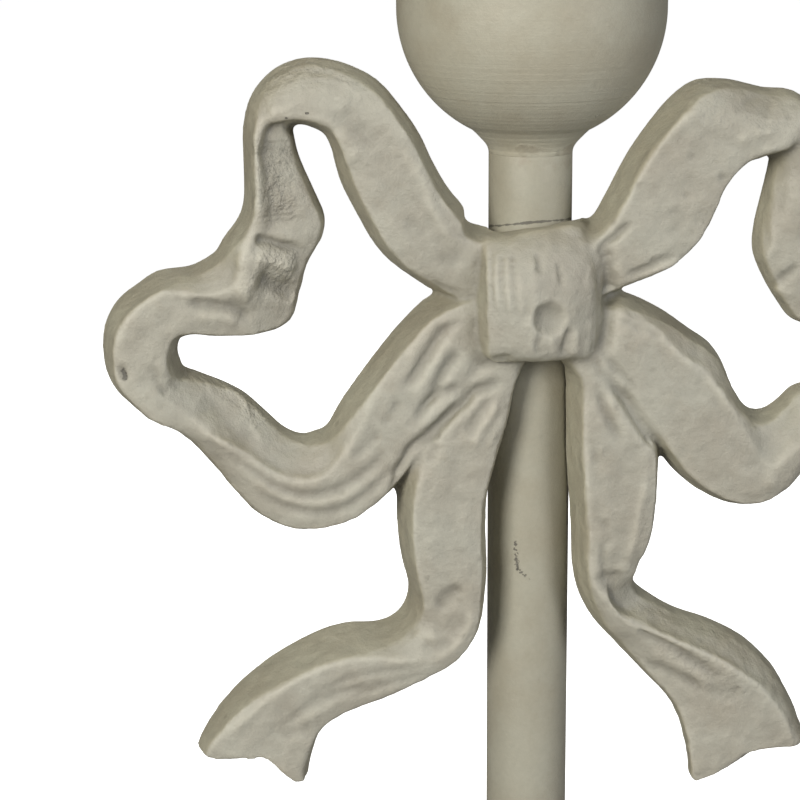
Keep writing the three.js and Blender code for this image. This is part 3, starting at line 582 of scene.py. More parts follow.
# strokes worked into the face of the bow: height in mm, below zero a groove, half its width in mm, and
# x, z of each point of its line in the plane of the ribbons' front as the camera sees it, z from the
# knot's middle
leftLoopStrokes = [
    (0.35, 0.9, -39.6, 31.4, -41.1, 31.4, -43.2, 30.3, -44.7, 28.8, -45.8, 26.4, -46.4, 23.4, -46.4, 19.6,
     -46, 16.2, -45.6, 12, -46.8, 10.5, -48.1, 8.9, -48.7, 7, -48.9, 4.7, -49.4, 2.4, -50.4, 0.5),
    (-0.7, 2.4, -43.1, 26.7, -43.3, 23.7, -42.8, 19.5, -42.1, 15.7, -42.4, 12.7),
    (-0.9, 0.8, -44.6, 27.8, -41.5, 28.2, -38.6, 28.2),
    (-1.1, 0.8, -46.6, 10.5, -44.9, 10.1, -42.6, 9.4, -38.8, 8.4),
    (0.9, 1.5, -47.2, 7.8, -44.9, 7.1, -42.7, 6.5, -40, 5.3),
    (-1.1, 1.4, -46.5, 4.1, -44.3, 2.9, -41.6, 2, -40.1, 0.8),
    (0.9, 1.5, -48.7, 8.6, -47.4, 6.6, -47.3, 4.3, -48.3, 2, -49.8, 0.5),
    (0.3, 0.8, -69.1, -9.6, -69.3, -7.3, -68.2, -4.2, -66.4, -1.5, -64.1, 0.4, -61.4, 1.7, -58.7, 1.8,
     -55.7, 1, -52.7, 0.5, -50, -0.3),
    (-0.95, 1.2, -58, 0.1, -55.4, 0.2, -52.7, -0.4, -50.4, -0.9, -48.6, -1.9, -47.4, -3.1),
    (0.35, 1.3, -56.9, -2.1, -53.5, -2.2, -50.8, -2.2, -49.3, -3),
    (-0.3, 0.6, -64.2, -9.3, -63.5, -11.3, -62.4, -13.7, -61.1, -15.3),
    (-0.22, 0.5, -62.8, -8.2, -63.1, -10.2, -62.2, -12.5),
    (-0.7, 0.8, -68.6, -10.9, -68.3, -11.7),
    (0.35, 1, -23.1, 25.3, -20.8, 21.8, -19.1, 18.7, -18.1, 15.3, -16.2, 11.8, -14.3, 8.2),
    (-0.16, 0.5, -42.9, 36.1, -40.6, 37.2, -37.6, 37.3, -34.6, 36.9, -32, 37.4),
    (-0.14, 0.5, -44.4, 34.3, -42.2, 35.7, -38.8, 36.4),
    (-0.14, 0.5, -37.7, 35.7, -34.7, 35.2, -32.8, 34.5),
    (-0.4, 2.4, -32.8, 31.5, -29.5, 28, -26.5, 24.6),
    (0.3, 1.9, -33.3, 28.1, -31.4, 25.4, -29.5, 22.7),
    (-0.3, 1.4, -17, 6, -15.1, 6.5, -13.3, 5.9),
    (-0.35, 0.7, -18.2, 2.5, -15.9, 1.6, -13.3, 0.6),
    (-0.25, 1.5, -22.4, 12.3, -20.4, 11.5, -19.3, 9.9),
    (-0.95, 0.9, -13.3, -3.9, -15.9, -5.4, -17.6, -7.5, -19.2, -10.1, -21.1, -13, -22.5, -15.2),
    (-0.85, 0.8, -13.3, -9.2, -15.3, -11.2, -16.7, -13.7, -18, -16.5, -19.8, -18.8),
    (0.35, 0.9, -13.3, -6.7, -15.9, -8.5, -17.4, -10.9, -19, -13.7, -20.6, -16.4),
    (0.3, 0.9, -17, -3, -18.6, -5, -20.5, -7.7, -22.5, -10.8),
    (-0.7, 0.8, -13, -14.9, -15.3, -15.4, -17.2, -16.5, -19.5, -18.8, -20.9, -20.7),
    (0.3, 0.9, -12.5, -16.6, -15.3, -18, -17.6, -20.3, -20, -22.1),
    (-1.3, 1, -6, -13.9, -8.3, -14.8, -11.1, -15.9, -13, -18, -15.3, -19.9, -18.3, -22.9, -21.2, -25.2,
     -23.3, -28.8, -23.7, -30.2, -24.2, -32.1),
    (0.35, 0.8, -59.1, -19.6, -56.4, -21.8, -53.3, -22.9, -50.5, -24.1, -48.3, -25.6, -46, -27.7,
     -43.3, -29.2, -40.5, -30, -37.7, -30, -35.4, -29.1, -33.5, -27, -31.6, -24.7, -29.7, -21.4, -28.1, -18.1,
     -26.4, -14.8),
    (-0.5, 0.9, -51.5, -24.8, -48.8, -27.3, -46, -29.5, -42.8, -31.5, -39.1, -32.5, -35.9, -32.3,
     -33.1, -31.4, -29.8, -29.5, -27, -27.2, -25.1, -24.9),
    (-0.45, 0.8, -47, -31.9, -43.3, -34, -39.6, -35.3, -35.9, -35.7, -32.7, -35, -28.9, -32.7, -26.1, -30.1,
     -24.2, -27.8),
    (0.25, 0.9, -49.7, -27.5, -46.5, -30.2, -42.9, -32.7, -39.2, -33.9, -35.4, -33.9, -32.2, -32.8,
     -28.9, -30.8),
    (-0.6, 1.9, -55.8, -15.5, -52.7, -18.4, -49.6, -21.3, -46.8, -23.8),
    (0.3, 0.6, -47.7, -19.9, -46.8, -21.9, -46.1, -23.1),
    (0.3, 0.6, -52.1, -13.7, -49.4, -15.6, -48.1, -18),
    (-0.28, 0.8, -26.5, -21.5, -28.4, -23.8, -31.2, -27.1),
    (-0.25, 0.7, -23.7, -17.7, -25.5, -20.5),
]
leftTailStrokes = [
    (0.12, 0.8, -19.1, -27.9, -19.5, -30.3, -20.5, -33.2, -21.3, -36.1, -21.5, -40.5, -21.4, -44.9,
     -20.9, -49.3, -20.3, -53.8, -20.6, -56.8),
    (0.45, 0.8, -6.9, -17.2, -8.3, -20.1, -10.2, -22.9, -11.3, -25.3),
    (-0.4, 0.7, -8.3, -16.7, -9.9, -19.1, -11.6, -21.4, -12.5, -23.3),
    (-0.28, 0.8, -12.3, -19, -13.2, -21.6, -14.3, -24.3),
    (-0.2, 0.7, -10.6, -20, -11.1, -22.9),
    (0.3, 0.7, -6, -20.1, -7.8, -23.4, -8.3, -25.3),
    (-0.4, 1, -17.2, -24.4, -18.1, -26, -18.6, -27.9),
    (-0.6, 1.1, -13, -49.3, -14.6, -50.5, -16.1, -51.7, -17.2, -53.4),
    (0.25, 1.1, -13, -52.3, -14.9, -54.2, -16.8, -56.2),
    (0.45, 1.4, -20.8, -56.8, -19.2, -58.1, -17.2, -57.9),
    (-0.35, 1.2, -20.1, -59.5, -17.3, -59.9, -14.4, -59),
    (0.35, 0.8, -12, -52.1, -11.5, -55.6, -13, -58.5, -15.3, -60.9, -17.7, -62.4),
    (0.35, 0.8, -17.7, -62.4, -20.6, -62.4, -23.9, -62.1, -27.7, -61.7, -31.5, -61.8, -34.9, -62.6,
     -38.2, -63.8, -41.1, -65.2, -43.9, -66.9, -46.3, -68.5, -48.7, -70.7, -51.6, -73.1, -53.5, -74.6,
     -55.5, -76),
    (-0.36, 0.9, -44, -73.9, -41.6, -71.8, -39.2, -69.6, -35.9, -66.9, -32, -65.1, -27.8, -64.2, -23.5, -63.9,
     -19.6, -63.8),
    (-0.4, 0.8, -38.3, -70.1, -34.9, -68, -31.6, -67.1, -27.8, -66.3, -23, -65.7, -19.7, -64.8),
    (-0.32, 0.55, -31.6, -68.4, -28.7, -67.5, -24.9, -66.6),
    (-0.3, 1.2, -43.6, -75.2, -41.2, -74, -38.3, -73.2),
    (0.14, 0.8, -41.2, -73.5, -37.8, -71.2, -34, -68.8),
]
rightTailStrokes = [
    (0.35, 0.8, 6.7, -16.5, 7.1, -19.8, 7.4, -23.5, 7.7, -27.3, 8, -31, 8.1, -36.7, 8.1, -42, 8.5, -46.2,
     9.3, -49.3, 10.7, -51.3, 12.9, -53.5, 15.2, -55.3, 18.2, -57.3, 21.2, -59.2, 24.3, -60.7, 27.3, -62.1,
     30.3, -63.6, 34.2, -66.1, 38, -68.4, 40.4, -70.7, 42.8, -74.4),
    (-0.5, 0.7, 9.4, -15.2, 10.4, -18.4, 11.3, -20.7, 12.4, -22.7, 13.4, -25.2),
    (0.2, 0.9, 11.6, -16.6, 12.7, -19.2, 14.2, -21.9, 14.7, -24.9),
    (-0.8, 0.9, 11.9, -15.1, 14.2, -17.4, 15.7, -20.1, 17.2, -22.5, 18.7, -24.6, 20, -26.1),
    (0.35, 0.8, 18.4, -30.2, 17.8, -34, 16.9, -37.7, 16.4, -40.7, 15.7, -43.8, 14.7, -46.4),
    (-1.3, 2.0, 12, -47.3, 12.8, -50, 14.4, -52.4, 17, -54.8),
    (-0.5, 0.6, 10.8, -42.3, 11, -46, 11.4, -49.2),
    (-0.3, 0.8, 11.2, -39.1, 11.7, -42.1),
    (-0.5, 1.4, 13.3, -52.5, 15.9, -54.5),
    (0.25, 1, 13.4, -46.3, 14.8, -47.4, 15.6, -46.2),
    (-0.2, 0.5, 9.2, -26.6, 9.6, -28.8),
    (-0.2, 0.5, 11.4, -26.3, 11, -27.4),
    (-0.55, 0.8, 17.1, -58.4, 19.7, -59.7, 22.8, -61.2, 25.8, -63.3, 28.9, -65.5, 32.3, -67.8),
    (-0.45, 0.9, 18.3, -63.9, 21.4, -65.4, 24.4, -66.7, 26.7, -68, 29, -69.9),
    (0.3, 1, 19, -62, 22.8, -63.9, 26.6, -66, 29.7, -67.9),
    (-0.35, 1.5, 29, -69.1, 32.4, -70, 35.4, -69.7),
    (-0.35, 0.5, 17.8, -58.5, 18.4, -58.9),
]
rightLoopStrokes = [
    (0.35, 0.8, 12.2, -3.6, 14.6, -3.7, 17, -4.9, 19.3, -6.5, 21.7, -8.9, 24, -11.1, 26.4, -12.3, 28.1, -13.7,
     29.5, -15.9, 31.2, -18.3, 32.8, -20.7),
    (0.3, 0.9, 29.5, -15.6, 31.4, -18.6, 33.6, -20.9, 35.5, -22.8),
    (-0.38, 0.6, 13.9, -2.5, 16.2, -4.3, 18.5, -6.3, 20.1, -7.9),
    (-0.28, 0.6, 13.1, -4.2, 15.4, -5, 17.8, -7),
    (-0.3, 0.8, 10.5, -9.6, 12.1, -11.9, 14.1, -14.3, 16.4, -16.7),
    (-0.35, 1, 9, -10.7, 11, -13.8, 13.3, -16.6, 14.9, -19),
    (0.3, 0.7, 10.2, -11.1, 12.1, -13.5, 14.5, -15.9),
    (0.3, 1.2, 43.9, -24.6, 42, -27.1, 40.4, -29.7, 39.5, -32, 39.8, -33.9),
    (-0.35, 2, 38.5, -23.7, 37.5, -27.4, 36.9, -31.1),
    (0.35, 0.8, 8.8, 7.4, 10.6, 10, 12.5, 12.6, 14.3, 15.9, 16.1, 19.7, 18, 23, 19.8, 25.2, 22.4, 27.8,
     25, 29.8, 27.6, 31),
    (-0.75, 0.6, 15.1, 11.6, 13.3, 10.9, 12.1, 9.6, 10.5, 8.5, 9.5, 6.6),
    (0.5, 1.1, 10.5, 6.2, 11.3, 4.7, 12.4, 3.5),
    (-0.55, 0.7, 22.1, 6.1, 19.8, 5.6, 17.9, 4.5, 16, 3.6, 14.2, 3.1),
    (0.4, 0.5, 22.9, 5.5, 20.2, 4.4, 17.6, 3.5, 14.2, 2.5),
    (-0.35, 0.4, 24.4, 22.5, 24.6, 22.4),
    (-0.35, 0.4, 23.8, 16.1, 24, 16),
    (-0.35, 0.4, 29.6, 19, 29.8, 18.9),
    (-0.35, 1.9, 32.8, 32.1, 35.1, 30.5, 37.8, 29.7),
    (0.25, 1, 31.5, 24.6, 34.9, 25.7, 38.3, 26.8),
    (-0.25, 1.2, 21.2, 14.3, 22.7, 12, 20.9, 9),
    (-0.6, 0.8, 38.3, 0.8, 39.8, 1.9, 41.4, 3, 42.8, 4.4),
    (0.35, 1, 39.1, 0.4, 41.5, -0.4),
    (0.3, 0.8, 38.5, 20, 38.4, 15.5, 38.2, 11.7, 38.5, 7.9, 37.4, 4.9),
]
knotStrokes = [
    (0.24, 0.5, -7.2, 6.8, -7.3, 2.5, -7.1, -1.9),
    (0.24, 0.5, -5.7, 6.8, -5.5, 1.5, -4.9, -3.4),
    (0.22, 0.5, -3.6, 4.8, -3.4, 0, -3, -3.5),
    (-0.2, 0.4, -8.1, 8.3, -8.2, 3.5, -7.8, -2.4),
    (-0.2, 0.4, -6.5, 6.3, -6.4, 0.5),
    (-0.2, 0.4, -4.6, 6.3, -4.4, 0),
    (-0.45, 0.45, -0.7, 7.4, -0.3, 5.5, -0.2, 3.7),
    (-0.45, 0.45, 2.8, 5.6, 3.2, 3.7, 3.6, 1.7),
    (-0.65, 0.6, 4, -10.3, 4, -8.6, 4.5, -6.9, 5.2, -5.5),
    (-0.38, 0.6, 0, -10, -0.4, -8.5, 0, -6.7),
    (0.28, 0.6, 5.8, -9.6, 6.1, -6.9),
    (0.25, 0.6, 2.2, -10, 1.9, -7.5),
    (0.2, 1.4, -6.9, 10.8, -2.1, 11.2, 2.7, 11.6, 6.5, 11.9),
    (-0.4, 0.9, -10, 8.1, -9.9, 4, -9.7, -1, -9.5, -5.5, -9.2, -9.8),
    (-1.5, 1.2, 10.3, 8.3, 11, 5.4, 11.4, 1.6, 11.4, -1.7, 11.2, -5.1, 10.5, -8.4, 9.8, -10.4),
    (-0.6, 0.8, -10.7, -11.8, -8.7, -11.1, -6.8, -10.6, -4.4, -10.4),
]
# places where the casting is rough, and where edges and corners are rubbed round: how much, half width
# and line
gritStrokes = [
    (0.75, 3.2, -43.4, 27, -43, 20, -42, 13),
    (0.6, 2.6, -46, 8, -43, 7, -40, 6),
    (0.5, 3.0, -45, 3, -42, 2),
    (0.65, 3.0, -57, -9, -50, -14, -45, -20),
    (0.3, 3.0, 19, -60, 28, -65, 38, -71),
    (0.3, 2.5, 27, 29, 38, 27),
    (0.4, 2.5, -47, 33, -38, 37, -28, 34),
]
softStrokes = [
    (1.2, 3.0, 6.5, 13, 9, 10.5, 10.2, 6, 10.5, -0.3, 10.3, -5, 9.3, -9.5),
    (1.2, 2.8, -9, 11, -4, 12, 2, 12.6, 7.8, 12.6),
    (1.0, 1.2, 11.9, -15.1, 14.2, -17.9, 16.8, -21.4, 19.2, -24.5, 20.8, -26.8),
    (1.0, 1.2, -19.5, -27, -22, -30.5, -23.5, -33),
    (1.2, 2.2, 8.5, 12.5, 10.2, 11, 11.5, 9.5),
    (1.2, 2.0, 8.8, -11.2, 10.2, -9.8, 10.9, -8),
    (1.2, 1.5, -40.5, -82.5, -38.7, -80.5, -37.7, -77),
    (1.0, 1.3, -59, -77, -57.5, -78.7, -55, -79.3),
    (0.8, 1.2, -8, -11.8, -2, -11.4, 4, -11.2, 9, -10.6),
]

sculptValues = {
    "dimple": (1.6, 3.0, 1.5, -3.9),  # mm: depth, radius, x and z of the knot's dimple
    "rubbing": 60,
    "lumps": (4.5, 1, 0.34, 0.55, "free"),  # size, noise depth, height, level that stays, vertex group
    "hammer": (1.7, 1, 0.2, 0.55, "free"),
    "grit": (0.65, 2, 0.4, 0.5, "rough"),
    "strokeSteps": 8,
    "strokeReach": 2.6,  # half widths past which a stroke isn't worked out
    "strokeTaper": (0.2, 0.12),  # share of a stroke in which it fades to its end, and what is left there
    "turnedAway": 2.5,  # how fast the strokes fade on faces that turn from the camera
    "reliefRange": 0.8,  # mm of stroke height, and of edge, that give the painted shade and highlight their full change
    "ridgeRange": 0.15,
    "leastGrit": 0.08,  # in the paint, outside the rough places
    "wall": (0.78, 2.5),  # how far a face turns from the front before it counts as side wall with painted shade, and how fast
}


def throughPoints(points, steps):
    # a smooth line through all the points, with the ends carried straight on
    points = np.array(points, float)
    padded = np.vstack([2 * points[0] - points[1], points, 2 * points[-1] - points[-2]])
    line = []
    for a, b, c, d in zip(padded, padded[1:], padded[2:], padded[3:]):
        for t in np.arange(steps) / steps:
            line.append(0.5 * (2 * b + (c - a) * t + (2 * a - 5 * b + 4 * c - d) * t * t
                               + (3 * b - a - 3 * c + d) * t ** 3))
    line.append(points[-1])
    return np.array(line)


def tableAt(table, place):
    return np.interp(place, *zip(*table))


def ribbonRings(stations, notch=None, thin=0.0, flare=((0, 0.1),), roll=((0, 0.0),)):
    # one ring of points round the ribbon at each step along it
    v = bowValues
    steps = v["stepsPerStation"]
    slope = math.tan(math.radians(v["draft"]))
    rows = np.array([row + flatPlace[len(row) - 4:] for row in stations], float)
    share = rows[:, 6:7]
    middle = rows[:, 0:2] * (1 - share) + rows[:, 2:4] * share

    def lineAt(flat, depths):
        places = [flat[:, 0], depths - v["front"], flat[:, 1] + v["knotHeight"]]
        return throughPoints(np.column_stack(places), steps)

    outer, inner = lineAt(rows[:, 0:2], rows[:, 4]), lineAt(rows[:, 2:4], rows[:, 5])
    crest = lineAt(middle, rows[:, 7])
    last = len(outer) - 1
    rings = []
    for i, (o, n, k) in enumerate(zip(outer, inner, crest)):
        toEnd = max(0.0, 1 - (last - i) / (v["thinStations"] * steps))
        back = -v["back"] - thin * toEnd
        across = np.array([o[0] - n[0], 0, o[2] - n[2]])
        across /= np.linalg.norm(across)

        def side(p, sign, depth, extra=0.0):
            reach = (depth - p[1]) * slope + extra
            return np.array([p[0], depth, p[2]]) + across * sign * reach

        wide, soft = tableAt(flare, i / steps), tableAt(roll, i / steps)
        rounding, bulge = v["backRounding"], v["sideBulge"]
        outerSide = [side(o, 1, back, wide - rounding), side(o, 1, back - rounding, wide),
                     side(o, 1, (back + o[1]) / 2, wide / 2 + bulge)]
        innerSide = [side(n, -1, (back + n[1]) / 2, bulge), side(n, -1, back - rounding),
                     side(n, -1, back, -rounding)]
        front = []
        for t in np.linspace(-1, 1, v["frontPoints"]):  # from the outer edge over the crest to the inner one
            edge = o + across * v["fullness"] if t < 0 else n - across * v["fullness"]
            far = abs(t)
            point = k + (edge - k) * far
            point[1] += (edge[1] - k[1]) * (far ** 2 - far) * soft - v["crown"] * tableAt(v["crownShape"], far)
            front.append(point)
        behind = (outerSide[0] + innerSide[-1]) / 2
        if i == last and notch:
            along = np.array([across[2], 0, -across[0]])
            along *= -np.sign(along @ (outer[-1] - outer[-2]))
            for point in front + [behind]:
                point += along * tableAt(notch, (o - point) @ (o - n) / ((o - n) @ (o - n)))
        rings.append(np.array(outerSide + front + innerSide + [behind]))
    if notch:
        rings = rings[:-1] + roundedEnd(rings[-1], rings[-2])
    return np.array(rings) * mm


def roundedEnd(ring, before):
    # the end of a tail is drawn in, in a few rings, so that its corners are round
    forward = (ring - before).mean(axis=0)
    forward /= np.linalg.norm(forward)
    inward = ring.mean(axis=0) - ring
    inward /= np.linalg.norm(inward, axis=1)[:, None]
    inward[:, 1] *= 0.5
    return [ring + inward * drawn - forward * short for drawn, short in bowValues["endRounding"]]


def loftByExtrusion(name, rings):
    # a ring is drawn, extruded and set on the next place along the ribbon, until the last one
    count = rings.shape[1]
    deselect()
    bpy.ops.mesh.primitive_circle_add(vertices=count, radius=0.003, fill_type="NGON")
    piece = bpy.context.object
    piece.name = name
    bpy.ops.object.mode_set(mode="EDIT")
    bpy.ops.mesh.select_mode(type="FACE")
    bpy.ops.mesh.select_all(action="SELECT")
    mesh = bmesh.from_edit_mesh(piece.data)
    for i, ring in enumerate(rings):
        if i:
            bpy.ops.mesh.extrude_region_move(TRANSFORM_OT_translate={"value": (0, 0, 0)})
            mesh = bmesh.from_edit_mesh(piece.data)
        face = next(f for f in mesh.faces if f.select)
        corners = [loop.vert for loop in face.loops]
        first, turn = 0, 1
        if i:
            first = min(range(count), key=lambda j: (corners[j].co - start).length)
            turn = 1 if (corners[(first + 1) % count].co - second).length < 1e-7 else -1
        for j in range(count):
            corners[(first + turn * j) % count].co = ring[j]
        start, second = Vector(ring[0]), Vector(ring[1])
        bmesh.update_edit_mesh(piece.data)
    bpy.ops.mesh.select_mode(type="FACE")
    mesh = bmesh.from_edit_mesh(piece.data)
    for face in mesh.faces:
        face.select_set(len(face.verts) == count)
    bmesh.update_edit_mesh(piece.data)
    bpy.ops.mesh.poke()
    mesh = bmesh.from_edit_mesh(piece.data)
    mesh.verts.ensure_lookup_table()
    crestPoint = 3 + bowValues["frontPoints"] // 2  # a ring begins with the three points of its outer side
    for ring in (rings[0], rings[-1]):  # the middle of an end sits between its front and its back
        hub = min((v for v in mesh.verts if len(v.link_faces) == count),
                  key=lambda v: (v.co - Vector(ring.mean(axis=0))).length)
        hub.co = (ring[crestPoint] + ring[-1]) / 2
    bpy.ops.mesh.select_all(action="SELECT")
    bpy.ops.mesh.normals_make_consistent(inside=False)
    bpy.ops.object.mode_set(mode="OBJECT")
    return piece


def applyModifier(piece, kind, name, **settings):
    modifier = piece.modifiers.new(name, kind)
    for key, value in settings.items():
        setattr(modifier, key, value)
    bpy.context.view_layer.objects.active = piece
    bpy.ops.object.modifier_apply(modifier=name)


def cutAway(piece, name, cutter):
    applyModifier(piece, "BOOLEAN", name, operation="DIFFERENCE", solver="EXACT", object=cutter)
    bpy.data.objects.remove(cutter)


def weighVertices(piece, name, weights):
    group = piece.vertex_groups.new(name=name)
    for i in np.nonzero(weights > 0.001)[0]:
        group.add([int(i)], float(weights[i]), "REPLACE")


def vertexTable(piece, what):
    table = np.empty(len(piece.data.vertices) * 3)
    piece.data.vertices.foreach_get(what, table)
    return table.reshape(-1, 3)


def strokeField(seen, strokes):
    # what the strokes add up to at each place of the picture plane
    v = sculptValues
    fade, rest = v["strokeTaper"]
    field = np.zeros(len(seen))
    for height, width, *path in strokes:
        points = np.reshape(path, (-1, 2))
        bent = len(points) > 2
        line = throughPoints(points, v["strokeSteps"]) if bent else np.linspace(points[0], points[-1], 6)
        reach = v["strokeReach"] * width
        inside = (seen > line.min(axis=0) - reach).all(axis=1) & (seen < line.max(axis=0) + reach).all(axis=1)
        near = np.nonzero(inside)[0]
        if not len(near):
            continue
        gaps = np.linalg.norm(seen[near][:, None, :] - line[None, :, :], axis=2)
        closest = gaps.argmin(axis=1)
        along = closest / (len(line) - 1)
        taper = np.clip(np.minimum(along, 1 - along) / fade + rest, 0, 1) if bent else 1
        field[near] += height * taper * np.exp(-(gaps[np.arange(len(near)), closest] / width) ** 2)
    return field


def seenFromCamera(piece):
    # where each vertex lies in the plane of the ribbons' front as the camera sees it, and how much it
    # faces the camera
    places, normals = vertexTable(piece, "co"), vertexTable(piece, "normal")
    eye = np.array(cameraPlace)
    rays = places - eye
    onPlane = (-bowValues["front"] * mm - eye[1]) / rays[:, 1]
    seen = (eye + rays * onPlane[:, None])[:, (0, 2)] / mm - (0, bowValues["knotHeight"])
    facing = -(normals * rays).sum(axis=1) / np.linalg.norm(rays, axis=1)
    return seen, np.clip(facing * sculptValues["turnedAway"], 0, 1)


def roughen(piece, name):
    size, detail, height, level, where = sculptValues[name]
    texture = bpy.data.textures.new(name, "CLOUDS")
    texture.noise_scale = size * mm
    texture.noise_depth = detail
    applyModifier(piece, "DISPLACE", name, vertex_group=where, texture=texture, texture_coords="LOCAL",
                  strength=height * mm, mid_level=level)


def sculpt(piece, strokes):
    v = sculptValues
    seen, facing = seenFromCamera(piece)
    depth, radius, x, z = v["dimple"]
    gap = np.linalg.norm(seen - (x, z), axis=1) / radius
    heights = (strokeField(seen, strokes) - depth * np.clip(1 - gap ** 2, 0, 1)) * facing
    weighVertices(piece, "rubbed", np.clip(strokeField(seen, softStrokes) * 1.2, 0, 1))
    applyModifier(piece, "SMOOTH", "rub", vertex_group="rubbed", factor=0.5, iterations=v["rubbing"])
    most = np.abs(heights).max()
    for name, sign in (("raised", 1), ("sunken", -1)):
        weighVertices(piece, name, np.clip(sign * heights / most, 0, 1))
        applyModifier(piece, "DISPLACE", name, vertex_group=name, strength=sign * most * mm, mid_level=0.0)
    depths = vertexTable(piece, "co")[:, 1] / mm
    weighVertices(piece, "free", np.clip((-depths - bowValues["back"] - 1) / 2, 0, 1))  # the flat back stays
    roughen(piece, "lumps")
    roughen(piece, "hammer")
    applyModifier(piece, "SMOOTH", "ease", factor=0.35, iterations=1)
    seen, facing = seenFromCamera(piece)
    weighVertices(piece, "rough", np.clip(strokeField(seen, gritStrokes), 0, 1) * facing)
    roughen(piece, "grit")


def eased(piece, places, passes):
    # the places after each vertex has moved to the middle of its neighbours a few times
    count = len(places)
    ends = np.empty(len(piece.data.edges) * 2, int)
    piece.data.edges.foreach_get("vertices", ends)
    one, other = ends[0::2], ends[1::2]
    share = np.bincount(one, minlength=count) + np.bincount(other, minlength=count)
    for _ in range(passes):
        places = np.stack([np.bincount(one, places[other, k], count) + np.bincount(other, places[one, k], count)
                           for k in range(places.shape[1])], axis=1) / share[:, None]
    return places


def markSurface(piece, strokes):
    # what the paint reads, one value for each vertex: painted shade and highlight of the strokes and edges, rough
    # places, and the painted shade of side walls
    v = sculptValues
    places, normals = vertexTable(piece, "co"), vertexTable(piece, "normal")
    seen, facing = seenFromCamera(piece)
    edgeShadeAndHighlight = ((places - eased(piece, places, 5)) * normals).sum(axis=1) / mm
    wallTurn, wallContrast = v["wall"]
    marks = {
        # painted shade in the stroke grooves, painted highlight on their ridges
        "strokeShadeAndHighlight": np.clip(strokeField(seen, strokes) * facing / v["reliefRange"], -1, 1),
        # painted shade in the mesh's creases, painted highlight on its edges
        "edgeShadeAndHighlight": np.clip(eased(piece, edgeShadeAndHighlight[:, None], 1)[:, 0] / v["ridgeRange"], -1, 1),
        "grit": np.clip(strokeField(seen, gritStrokes) * facing + v["leastGrit"], 0, 1),
        # painted shade on the side walls turned from the front
        "wall": np.clip((wallTurn + normals[:, 1]) * wallContrast, 0, 1),
    }
    for name, values in marks.items():
        piece.data.attributes.new(name, "FLOAT", "POINT").data.foreach_set("value", values)


def makeBow():
    v = bowValues
    ribbons = {
        "leftLoop": ribbonRings(leftLoop, roll=v["leftRoll"]),
        "rightLoop": ribbonRings(rightLoop, roll=v["rightRoll"]),
        "leftTail": ribbonRings(leftTail, v["leftNotch"], v["tailThinning"], v["leftFlare"]),
        "rightTail": ribbonRings(rightTail, v["rightNotch"], v["tailThinning"], v["rightFlare"]),
        "knotBand": ribbonRings(knotBand),
    }
    parts = [loftByExtrusion(name, rings) for name, rings in ribbons.items()]
    print("ribbons are drawn")
    pick(*parts)
    bpy.ops.object.join()
    bow = parts[0]
    bow.name = "ribbonBow"
    bow.data.name = "ribbonBow"
    applyModifier(bow, "REMESH", "cast", mode="VOXEL", voxel_size=v["voxel"] * mm)
    applyModifier(bow, "SMOOTH", "soften", factor=0.5, iterations=v["smoothing"])
    print("bow is cast in one,", len(bow.data.polygons), "faces")
    deselect()
    bpy.ops.mesh.primitive_cylinder_add(vertices=96, radius=v["saddle"] * mm, depth=0.3,
                                        location=(0, 0, v["knotHeight"] * mm))
    cutAway(bow, "saddle", bpy.context.object)
    strokes = leftLoopStrokes + rightLoopStrokes + leftTailStrokes + rightTailStrokes + knotStrokes
    sculpt(bow, strokes)
    bow.data.calc_loop_triangles()
    applyModifier(bow, "DECIMATE", "thin", ratio=min(1.0, v["triangles"] / len(bow.data.loop_triangles)))
    markSurface(bow, strokes)
    print("folds and lumps are worked in,", len(bow.data.polygons), "faces")
    bow.data.polygons.foreach_set("use_smooth", [True] * len(bow.data.polygons))
    finishPiece(bow, bowPaint, "stand", "paint", "ribbon_bow")


makeBow()
print("bow is done")

turnedValues = {
    "steps": 144,
    "edgeAngle": 28,
    "smoothAngle": 50,
    "tubeRadius": 7.0,  # mm
    "tubeBottom": 34.0,
    "tubeTop": 292.0,
    "bore": 5.5,
    "axis": 0.0005,  # a closed outline begins this near to the axis
}


def arcPoints(radius, centreR, centreZ, start, end, steps):
    angles = np.radians(np.linspace(start, end, steps + 1))
    return [(centreR + radius * math.cos(a), centreZ + radius * math.sin(a)) for a in angles]


def bezier(points, steps):
    ts = np.linspace(0, 1, steps + 1)[:, None]
    rows = [np.array(p, float) for p in points]
    while len(rows) > 1:
        rows = [a * (1 - ts) + b * ts for a, b in zip(rows, rows[1:])]
    return [tuple(p) for p in rows[0]]


def cleanMesh(threshold):
    bpy.ops.mesh.select_all(action="SELECT")
    bpy.ops.mesh.remove_doubles(threshold=threshold)
    bpy.ops.mesh.normals_make_consistent(inside=False)
    bpy.ops.object.mode_set(mode="OBJECT")


def spinOutline(name, outline, steps=turnedValues["steps"]):
    # one point is extruded along the outline, and the outline is spun round the stem's axis
    deselect()
    bpy.ops.mesh.primitive_plane_add(size=0.002)
    piece = bpy.context.object
    piece.name = name
    piece.data.name = name
    bpy.ops.object.mode_set(mode="EDIT")
    bpy.ops.mesh.select_mode(type="VERT")
    bpy.ops.mesh.select_all(action="SELECT")
    bpy.ops.mesh.merge(type="CENTER")
    bpy.ops.transform.translate(value=(outline[0][0] * mm, 0, outline[0][1] * mm))
    for (r0, z0), (r1, z1) in zip(outline, outline[1:]):
        bpy.ops.mesh.extrude_region_move(TRANSFORM_OT_translate={"value": ((r1 - r0) * mm, 0, (z1 - z0) * mm)})
    bpy.ops.mesh.select_all(action="SELECT")
    bpy.ops.mesh.spin(steps=steps, angle=math.tau, center=(0, 0, 0), axis=(0, 0, 1))
    cleanMesh(2e-6)
    return piece


def roundEdges(piece, width, segments=2):
    v = turnedValues
    applyModifier(piece, "BEVEL", "roundEdges", width=width * mm, segments=segments, limit_method="ANGLE",
                  angle_limit=math.radians(v["edgeAngle"]), use_clamp_overlap=True)
    pick(piece)
    bpy.ops.object.shade_smooth_by_angle(angle=math.radians(v["smoothAngle"]))


